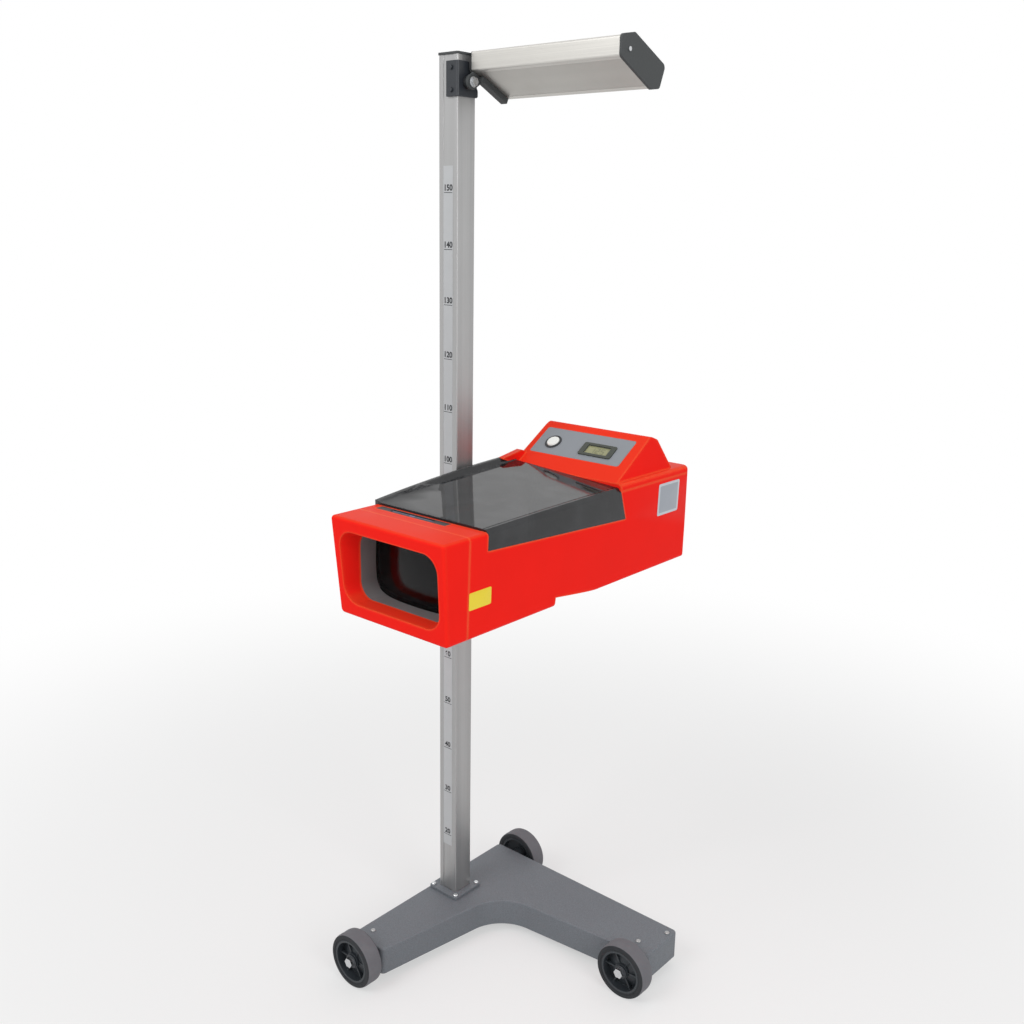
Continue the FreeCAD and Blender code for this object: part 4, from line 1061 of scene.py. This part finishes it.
@dataclass
class Workbench:
    """Makes the scene's objects out of surfaces and keeps a list of what it made."""

    made: list[str] = field(default_factory=list)

    def add(self, name: str, mesh: bpy.types.Mesh, body: str, finish: Finish) -> bpy.types.Object:
        """Put a mesh into the scene as a piece that rides on a body.

        Args:
            name: Name of the piece.
            mesh: Its mesh.
            body: Body that it moves with.
            finish: Its finish.

        Returns:
            The new object.
        """
        mesh.materials.clear()
        mesh.materials.append(finish.material())
        made = bpy.data.objects.new(name, mesh)
        bpy.context.scene.collection.objects.link(made)
        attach(made, body)
        self.made.append(name)
        LOG.info("%s: %d faces on %s", name, len(mesh.polygons), body)
        return made

    def piece(self, name: str, surface: Surface, body: str, finish: Finish, crease: float = CREASE,
              replaces: str | None = None) -> bpy.types.Object:
        """Make a smooth piece of a surface.

        Args:
            name: Name of the piece.
            surface: Its points and faces.
            body: Body that it moves with.
            finish: Its finish.
            crease: Angle in degrees past which an edge stays sharp.
            replaces: CAD node that it stands for, if any.

        Returns:
            The new object.
        """
        mesh = bpy.data.meshes.new(name)
        mesh.from_pydata(surface.points.tolist(), [], surface.faces.tolist())
        mesh.validate()
        mesh.shade_smooth()
        mesh.set_sharp_from_angle(angle=math.radians(crease))
        made = self.add(name, mesh, body, finish)
        if replaces:
            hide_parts(replaces)
        return made

    def skin(self, node: str, finish: Finish) -> None:
        """Show a CAD node as a merged, smooth copy of itself."""
        self.piece(f"{node}_skin", node_surface(node), body_of(node), finish, replaces=node)

    def paint(self, node: str, finish: Finish) -> None:
        """Give a CAD node a finish as it is.

        Args:
            node: Name of the node.
            finish: Its finish.
        """
        for entry in frame["nodes"][node].material_slots:
            entry.material = finish.material()
        LOG.info("%s: painted %s", node, finish.name)


# Sub-assemblies

@dataclass
class Assembly:
    """Nodes that are shown in their own shape: seen ones as smooth skins, hidden ones only painted."""

    bench: Workbench
    seen: ClassVar[dict[str, Finish]] = {}
    hidden: ClassVar[dict[str, Finish]] = {}

    def dress(self) -> None:
        """Show the seen nodes in their finishes, and paint the hidden ones."""
        for node, finish in self.seen.items():
            self.bench.skin(node, finish)
        for node, finish in self.hidden.items():
            self.bench.paint(node, finish)


@dataclass
class Stand(Assembly):
    """Base, column and visor bracket."""

    seen: ClassVar[dict[str, Finish]] = {
        "base_shell": BASE_COAT, "axle_blocks": BLACK_COAT, "base_screws": COLUMN_METAL,
        "column": COLUMN_METAL, "column_foot": BASE_COAT, "foot_screws": BRIGHT_STEEL,
        "column_cap": CAP_GREY, "cap_screw": BRIGHT_STEEL, "visor_bracket": BLACK_COAT,
        "bracket_screws": BLACK_COAT, "pivot_bolt": BRIGHT_STEEL, "pivot_nut": BRIGHT_STEEL,
        "friction_washer": BLACK, "axle_bolts": BRIGHT_STEEL, "axle_washers": BLACK_COAT,
        "axle_spacers": BRIGHT_STEEL, "height_scale": SCALE_FILM,
    }


@dataclass
class HeightMarks:
    """Printed marks on the column's scale: a short line and a number every hundred millimetres."""

    bench: Workbench
    strip: str = "height_scale"
    first_height: float = 0.2225
    first_number: int = 20
    step: float = 0.1
    number_step: int = 10
    count: int = 14
    digit_height: float = 0.0105
    type_scale: float = 1.4
    stroke_spread: float = 0.0005
    foot_drop: float = 0.5
    line_drop: float = 0.85
    line_width: float = 0.021
    line_height: float = 0.0011
    line_corner: float = 0.0003
    ink: float = 0.00008

    def plane(self) -> Plane:
        """Face of the scale strip, from its middle at the floor's level.

        Returns:
            The plane, with X across and Z up.
        """
        low, high = node_box(self.strip)
        middle = np.array([(low[0] + high[0]) / 2, low[1], 0.0])
        return Plane(middle, ACROSS, UPWARD)

    def numeral(self, number: int, height: float) -> None:
        """Print a number, its middle on the strip at a height.

        Args:
            number: Number to print.
            height: Height of its foot over the floor.
        """
        name = f"height_number_{number}"
        text = bpy.data.curves.new(name, "FONT")
        text.body = str(number)
        text.align_x = "CENTER"
        text.size = self.digit_height * self.type_scale
        text.offset = self.stroke_spread
        text.extrude = self.ink / 2
        holder = bpy.data.objects.new(name, text)
        bpy.context.scene.collection.objects.link(holder)
        bpy.context.view_layer.update()
        shaped = holder.evaluated_get(bpy.context.evaluated_depsgraph_get())
        mesh = bpy.data.meshes.new_from_object(shaped)
        bpy.data.objects.remove(holder)
        place = self.plane()
        lift = place.origin + place.normal * self.ink / 2 + UPWARD * height
        turn = Matrix((place.right, place.up, place.normal)).transposed().to_4x4()
        mesh.transform(Matrix.Translation(Vector(lift)) @ turn)
        self.bench.add(name, mesh, body_of(self.strip), SCALE_INK)

    def dress(self) -> None:
        """Print every mark up the strip."""
        place = self.plane()
        lines: list[Surface] = []
        for index in range(self.count):
            height = self.first_height + index * self.step
            foot = height - self.digit_height * self.foot_drop
            self.numeral(self.first_number + index * self.number_step, foot)
            middle = (0.0, height - self.digit_height * self.line_drop)
            lines.append(slab(place, self.line_width, self.line_height, self.line_corner, self.ink,
                              self.ink * INK_EDGE, middle))
        self.bench.piece("height_lines", merged(lines), body_of(self.strip), SCALE_INK)


@dataclass
class Wheel:
    """One wheel: solid tyre, moulded hub and plain bush."""

    bench: Workbench
    name: str
    shoulder: float = 5.0
    bead: float = 0.0035
    clearance: float = 0.00005
    lip_inset: float = 0.0012
    lip_drop: float = 0.0006
    mould_line: float = 0.00025
    mould_width: float = 0.0009
    tread_steps: int = 49
    segments: int = 128

    def tyre(self) -> Surface:
        """Tyre as a ring: a flattened oval tread on straight walls, with a fine line where the mould parts.

        The tread's half width is w * |cos t|^(2/n) and its height h * |sin t|^(2/n) over half a turn t,
        with n the shoulder's squareness; the bore closes the ring.

        Returns:
            The closed ring.
        """
        low, high = node_box(f"{self.name}_tyre")
        hub_low, hub_high = node_box(f"{self.name}_hub")
        centre = (low + high) / 2
        outer = (high[2] - low[2]) / 2
        half = (high[1] - low[1]) / 2
        inner = (hub_high[2] - hub_low[2]) / 2 + self.clearance
        turn = np.linspace(0.0, math.pi, self.tread_steps)
        along = half * np.sign(np.cos(turn)) * np.abs(np.cos(turn)) ** (2.0 / self.shoulder)
        foot = inner + self.bead
        radius = foot + (outer - foot) * np.abs(np.sin(turn)) ** (2.0 / self.shoulder)
        radius = radius - self.mould_line * np.exp(-((along / self.mould_width) ** 2))
        lip = half - self.lip_inset
        seat = foot - self.lip_drop
        walls = np.array([[seat, -lip], [inner, -lip], [inner, lip], [seat, lip]])
        profile = np.vstack([np.stack([radius, along], -1), walls])
        return turned(profile[::-1], centre, BACKWARD, self.segments)

    def dress(self) -> None:
        """Build the tyre, mark how near each point lies to a wall, and show the hub and bush."""
        node = f"{self.name}_tyre"
        made = self.bench.piece(f"{self.name}_tread", self.tyre(), body_of(node), TYRE, SOFT_CREASE, node)
        low, high = node_box(node)
        points = np.empty(len(made.data.vertices) * 3)
        made.data.vertices.foreach_get("co", points)
        reach = np.abs(points[1::3] - (low[1] + high[1]) / 2) / ((high[1] - low[1]) / 2)
        made.data.attributes.new(WALL_MARK, "FLOAT", "POINT").data.foreach_set("value", reach)
        self.bench.skin(f"{self.name}_hub", HUB_BLACK)
        self.bench.skin(f"{self.name}_bush", BRONZE)


@dataclass
class Visor(Assembly):
    """Aiming visor over the column."""

    seen: ClassVar[dict[str, Finish]] = {
        "visor_profile": VISOR_METAL, "visor_mirror": SIGHT_STRIP, "visor_cap_left": CAP_GREY,
        "visor_cap_right": CAP_GREY, "visor_cap_screws": BRIGHT_STEEL,
    }


@dataclass
class Carriage(Assembly):
    """Sleeve on the column with its glides and clamp."""

    seen: ClassVar[dict[str, Finish]] = {
        "carriage_sleeve": BLACK, "carriage_screws": BRIGHT_STEEL, "clamp_knob": HUB_BLACK,
        "clamp_stud": BRIGHT_STEEL,
    }
    hidden: ClassVar[dict[str, Finish]] = {"glide_liners": NYLON, "brake_shoe": BRONZE}


@dataclass
class OpticalBox(Assembly):
    """Red box with its lens, smoked cover, level and inner parts."""

    wall: str = "lower_housing"
    plate_size: tuple[float, float] = (0.072, 0.064)
    plate_place: tuple[float, float] = (0.075, 0.040)
    plate_corner: float = 0.004
    rim_width: float = 0.005
    face_corner: float = 0.002
    face_rise: float = 1.3
    patch_size: tuple[float, float] = (0.053, 0.030)
    patch_place: tuple[float, float] = (0.0275, 0.068)
    patch_corner: float = 0.003
    film: float = 0.0005
    film_edge: float = 0.5
    fluid: Colour = srgb(58, 64, 92)
    lens_ball: float = 0.420
    lens_squareness: float = 6.0
    lens_steps: int = 65
    seen: ClassVar[dict[str, Finish]] = {
        "lower_housing": RED, "front_bezel": RED, "rear_hood": RED, "smoked_cover": SMOKED,
        "chamber_liner": BLACK, "lens_frame": FRAME_GREY, "level_holder": BLACK,
    }
    inner: ClassVar[dict[str, Finish]] = {
        "screen_frame": BLACK, "aiming_screen": SCREEN, "light_cell": SENSOR, "screen_rack": NYLON,
        "battery_pack": BLACK, "dip_shaft": BRIGHT_STEEL, "dip_bush": BRONZE, "dip_knob": HUB_BLACK,
    }

    def side(self) -> Plane:
        """Right wall of the box: its drafted flat, with Y to the right and the slope of the wall as up.

        Returns:
            The plane, from the wall's lower front corner.
        """
        spot, normal = largest_flat(self.wall, ACROSS)
        up = np.cross(normal, BACKWARD)
        low, _ = node_box(self.wall)
        foot = spot - BACKWARD * (spot[1] - low[1]) - up * (spot[2] - low[2]) / up[2]
        return Plane(foot, BACKWARD, up)

    def lens(self) -> Surface:
        """Plano-convex lens: a rounded square grid, its front a ball's cap and its back flat.

        A point (u, v) of the square goes to the outline by the factor of a superellipse, so that the grid
        has round corners; the front lies at pole + r - sqrt(r^2 - x^2 - z^2), and a wall joins
        the two rims.

        Returns:
            The closed lens.
        """
        low, high = node_box("lens")
        centre = (low + high) / 2
        half = (high - low) / 2
        steps = self.lens_steps
        power = self.lens_squareness
        span = np.sin(np.linspace(-math.pi / 2, math.pi / 2, steps))
        u, v = np.meshgrid(span, span, indexing="ij")
        longest = np.maximum(np.maximum(np.abs(u), np.abs(v)), TINY)
        pull = longest / np.maximum((np.abs(u) ** power + np.abs(v) ** power) ** (1.0 / power), TINY)
        x = u * pull * half[0]
        z = v * pull * half[2]
        front = low[1] + self.lens_ball - np.sqrt(self.lens_ball ** 2 - x ** 2 - z ** 2)
        back = np.full_like(front, high[1])
        sheets = [np.stack([centre[0] + x, depth, centre[2] + z], -1).reshape(-1, 3)
                  for depth in (front, back)]
        count = steps * steps
        number = np.arange(count).reshape(steps, steps)
        rim = np.concatenate([number[:-1, 0], number[-1, :-1], number[:0:-1, -1], number[0, :0:-1]])
        following = np.roll(rim, -1)
        wall = np.stack([rim, following, following + count, rim + count], -1)
        faces = grid_faces(steps, steps)
        return Surface(np.vstack(sheets), np.vstack([faces[:, ::-1], faces + count, wall[:, ::-1]]))

    def plates(self) -> None:
        """Lay the bare plate with its pale rim and the plain yellow patch on the right wall."""
        side = self.side()
        low, high = node_box(self.wall)
        middle = (high[1] - low[1] - self.plate_place[0], high[2] - low[2] - self.plate_place[1])
        width, height = (size - 2 * self.rim_width for size in self.plate_size)
        soft = self.film * self.film_edge
        rim = slab(side, *self.plate_size, self.plate_corner, self.film, soft, middle)
        face = slab(side, width, height, self.face_corner, self.film * self.face_rise, soft, middle)
        patch = slab(side, *self.patch_size, self.patch_corner, self.film, soft, self.patch_place)
        body = body_of(self.wall)
        self.bench.piece("side_plate_rim", rim, body, PLATE_RIM)
        self.bench.piece("side_plate_face", face, body, SIDE_PLATE)
        self.bench.piece("yellow_patch", patch, body, YELLOW_PATCH)

    def dress(self) -> None:
        """Show the shells, fill the vial, build the lens and plates, and show what is inside."""
        super().dress()
        low, high = node_box("level_vial")
        self.bench.skin("level_vial", Vial(Slot.FLUID, self.fluid, tuple((low + high) / 2)))
        self.bench.piece("lens_body", self.lens(), body_of("lens"), SHADE_TINTED_LENS, SOFT_CREASE, "lens")
        self.plates()
        for node, finish in self.inner.items():
            self.bench.skin(node, finish)


STROKES = {
    "top": ((0, 2), (1, 2)), "upper_right": ((1, 1), (1, 2)), "lower_right": ((1, 0), (1, 1)),
    "bottom": ((0, 0), (1, 0)), "lower_left": ((0, 0), (0, 1)), "upper_left": ((0, 1), (0, 2)),
    "middle": ((0, 1), (1, 1)),
}
NUMERALS = {
    "1": ("upper_right", "lower_right"),
    "2": ("top", "upper_right", "middle", "lower_left", "bottom"),
    "5": ("top", "upper_left", "middle", "lower_right", "bottom"),
}


@dataclass
class Console(Assembly):
    """Sloping panel with its display and push button."""

    reading: str = "125"
    digit: tuple[float, float] = (0.0065, 0.012)
    pitch: float = 0.0115
    stroke: float = 0.0016
    stroke_reach: float = 0.8
    stroke_corner: float = 0.3
    ink: float = 0.00012
    face_depth: float = 1e-4
    seen: ClassVar[dict[str, Finish]] = {
        "control_panel": PANEL, "display_bezel": DISPLAY_DARK, "button_collar": BLACK, "push_button": WHITE,
    }
    hidden: ClassVar[dict[str, Finish]] = {"circuit_board": BOARD, "display_module": PANE}

    def slope(self, node: str) -> Plane:
        """Plane of a node's outer face on the slope, from the face's middle.

        Args:
            node: Node that lies on the slope.

        Returns:
            The plane, with X across and the slope as up.
        """
        press = next(joint for joint in frame["joints"] if joint["name"] == "button_press")
        normal = -np.array(press["axis"], dtype=float)
        normal = normal / np.linalg.norm(normal)
        points = node_surface(node).points
        tall = points @ normal
        face = points[tall > tall.max() - self.face_depth]
        middle = (face.min(0) + face.max(0)) / 2
        return Plane(middle, ACROSS, np.cross(normal, ACROSS))

    def numerals(self) -> Surface:
        """Numbers of the display: each stroke is a thin bar between two corners of its digit's cell.

        Returns:
            All the strokes as one surface.
        """
        place = self.slope("display_module")
        cell = np.array([self.digit[0], self.digit[1] / 2])
        start = -self.pitch * (len(self.reading) - 1) / 2
        corner = self.stroke * self.stroke_corner
        bars: list[Surface] = []
        for index, sign in enumerate(self.reading):
            shift = np.array([start + index * self.pitch, 0.0]) - cell * (0.5, 1.0)
            for stroke in NUMERALS[sign]:
                first, second = (np.array(end) * cell + shift for end in STROKES[stroke])
                size = np.abs(second - first) + self.stroke * self.stroke_reach
                bars.append(slab(place, *size, corner, self.ink, self.ink * INK_EDGE, (first + second) / 2))
        return merged(bars)

    def dress(self) -> None:
        """Show the console's nodes and set a reading on the display."""
        super().dress()
        self.bench.piece("display_reading", self.numerals(), body_of("display_module"), SEGMENT_INK)


# Studio

WHITE_LIGHT = (1.0, 1.0, 1.0)


@dataclass
class Lamp:
    """Soft square lamp aimed at a point of the object."""

    name: str
    place: Triple
    size: float
    power: float
    aim: Triple = (0.0, 0.0, 0.9)

    def build(self) -> None:
        """Hang the lamp and turn it to its aim."""
        light = bpy.data.lights.new(self.name, "AREA")
        light.size = self.size
        light.energy = self.power
        made = bpy.data.objects.new(self.name, light)
        made.location = self.place
        made.rotation_euler = (Vector(self.aim) - Vector(self.place)).to_track_quat("-Z", "Y").to_euler()
        bpy.context.scene.collection.objects.link(made)


@dataclass
class Studio:
    """White room: floor with a soft shadow, even light, and the camera at the photograph's angle."""

    ambient: float = 0.55
    floor_span: float = 14.0
    floor_steps: int = 5
    floor_drop: float = 0.0004
    floor_colour: Colour = (0.8, 0.8, 0.8)
    floor_lift: float = 0.5
    fade: Band = (0.7, 2.6)
    azimuth: float = 43.66582
    distance: float = 2.079431
    height: float = 1.468807
    pitch: float = 14.94669
    yaw: float = -3.023099
    roll: float = 0.92784
    focal: float = 1096.339
    image: float = 1024.0
    sensor: float = 36.0
    clip: float = 100.0
    lamps: tuple[Lamp, ...] = (
        Lamp("key_lamp", (-0.6, -2.9, 3.1), 1.8, 46.0),
        Lamp("fill_lamp", (3.2, -0.9, 2.2), 1.6, 36.0),
        Lamp("top_lamp", (0.2, 0.6, 3.8), 2.2, 14.0),
    )

    def seen(self, graph: Graph) -> Value:
        """Whether a ray comes from the camera, off a gloss or through glass.

        Args:
            graph: Node tree that asks.

        Returns:
            1 for such a ray, else 0.
        """
        path = graph.node("ShaderNodeLightPath")
        camera, glossy, through = (Value(graph, path.outputs[f"Is {kind} Ray"])
                                   for kind in ("Camera", "Glossy", "Transmission"))
        return graph.math("MAXIMUM", graph.math("MAXIMUM", camera, glossy), through)

    def room(self) -> None:
        """White world that is seen at full strength and lights the object at a plain level."""
        world = bpy.data.worlds.new("white_room")
        bpy.context.scene.world = world
        graph = Graph(world)
        strength = self.ambient + self.seen(graph) * (1.0 - self.ambient)
        back = graph.node("ShaderNodeBackground", None, {"Color": WHITE_LIGHT, "Strength": strength})
        graph.node("ShaderNodeOutputWorld", None, {"Surface": back.outputs[0]})

    def floor(self) -> None:
        """Pale floor that takes the shadow and fades into the white room further out."""
        finish = bpy.data.materials.new("floor_finish")
        graph = Graph(finish)
        middle = graph.place()
        away = graph.node("ShaderNodeVectorMath", {"operation": "LENGTH"}, {0: middle})
        far = Value(graph, away.outputs["Value"]).band(*self.fade)
        share = self.floor_lift + far * (1.0 - self.floor_lift)
        matt = graph.node("ShaderNodeBsdfDiffuse", None, {"Color": self.floor_colour})
        white = graph.node("ShaderNodeEmission", None, {"Color": WHITE_LIGHT})
        parts = {0: share * self.seen(graph), 1: matt.outputs[0], 2: white.outputs[0]}
        graph.close(graph.node("ShaderNodeMixShader", None, parts).outputs[0])
        half = self.floor_span / 2
        span = np.linspace(-half, half, self.floor_steps)
        x, y = np.meshgrid(span, span)
        points = np.stack([x, y, np.full_like(x, -self.floor_drop)], -1).reshape(-1, 3)
        mesh = bpy.data.meshes.new("floor")
        mesh.from_pydata(points.tolist(), [], grid_faces(len(span), len(span)).tolist())
        mesh.materials.append(finish)
        made = bpy.data.objects.new("floor", mesh)
        bpy.context.scene.collection.objects.link(made)

    def camera(self) -> None:
        """Stand the camera where the photograph was taken, from the column's axis.

        The view's bearing is the azimuth plus the yaw, and the picture is then rolled about the view.
        """
        low, high = node_box("column")
        axis = (low + high) / 2
        bearing = math.radians(self.azimuth)
        look = math.radians(self.azimuth + self.yaw)
        tilt = math.radians(self.pitch)
        roll = math.radians(self.roll)
        away = np.array([math.sin(bearing), -math.cos(bearing), 0.0])
        ahead = np.array([-math.sin(look), math.cos(look), 0.0])
        level = np.array([math.cos(look), math.sin(look), 0.0])
        place = axis * (ACROSS + BACKWARD) + away * self.distance + UPWARD * self.height
        forward = ahead * math.cos(tilt) - UPWARD * math.sin(tilt)
        upright = np.cross(level, forward)
        right = level * math.cos(roll) + upright * math.sin(roll)
        up = upright * math.cos(roll) - level * math.sin(roll)
        data = bpy.data.cameras.new("camera")
        data.sensor_width = self.sensor
        data.lens = self.focal / self.image * self.sensor
        data.clip_end = self.clip
        made = bpy.data.objects.new("camera", data)
        turn = Matrix((right, up, -forward)).transposed().to_4x4()
        made.matrix_world = Matrix.Translation(Vector(place)) @ turn
        bpy.context.scene.collection.objects.link(made)
        bpy.context.scene.camera = made

    def build(self) -> None:
        """Set up the room, the floor, the lamps and the camera."""
        bpy.context.scene.view_settings.view_transform = "Standard"
        self.room()
        self.floor()
        for lamp in self.lamps:
            lamp.build()
        self.camera()


def main() -> None:
    """Build the studio and dress every sub-assembly."""
    logging.basicConfig(level=logging.INFO, format="%(name)s %(message)s")
    bench = Workbench()
    Studio().build()
    Stand(bench).dress()
    HeightMarks(bench).dress()
    for name in ("wheel_front_left", "wheel_rear_left", "wheel_right"):
        Wheel(bench, name).dress()
    Visor(bench).dress()
    Carriage(bench).dress()
    OpticalBox(bench).dress()
    Console(bench).dress()
    LOG.info("%d pieces made", len(bench.made))


if __name__ == "__main__":
    main()
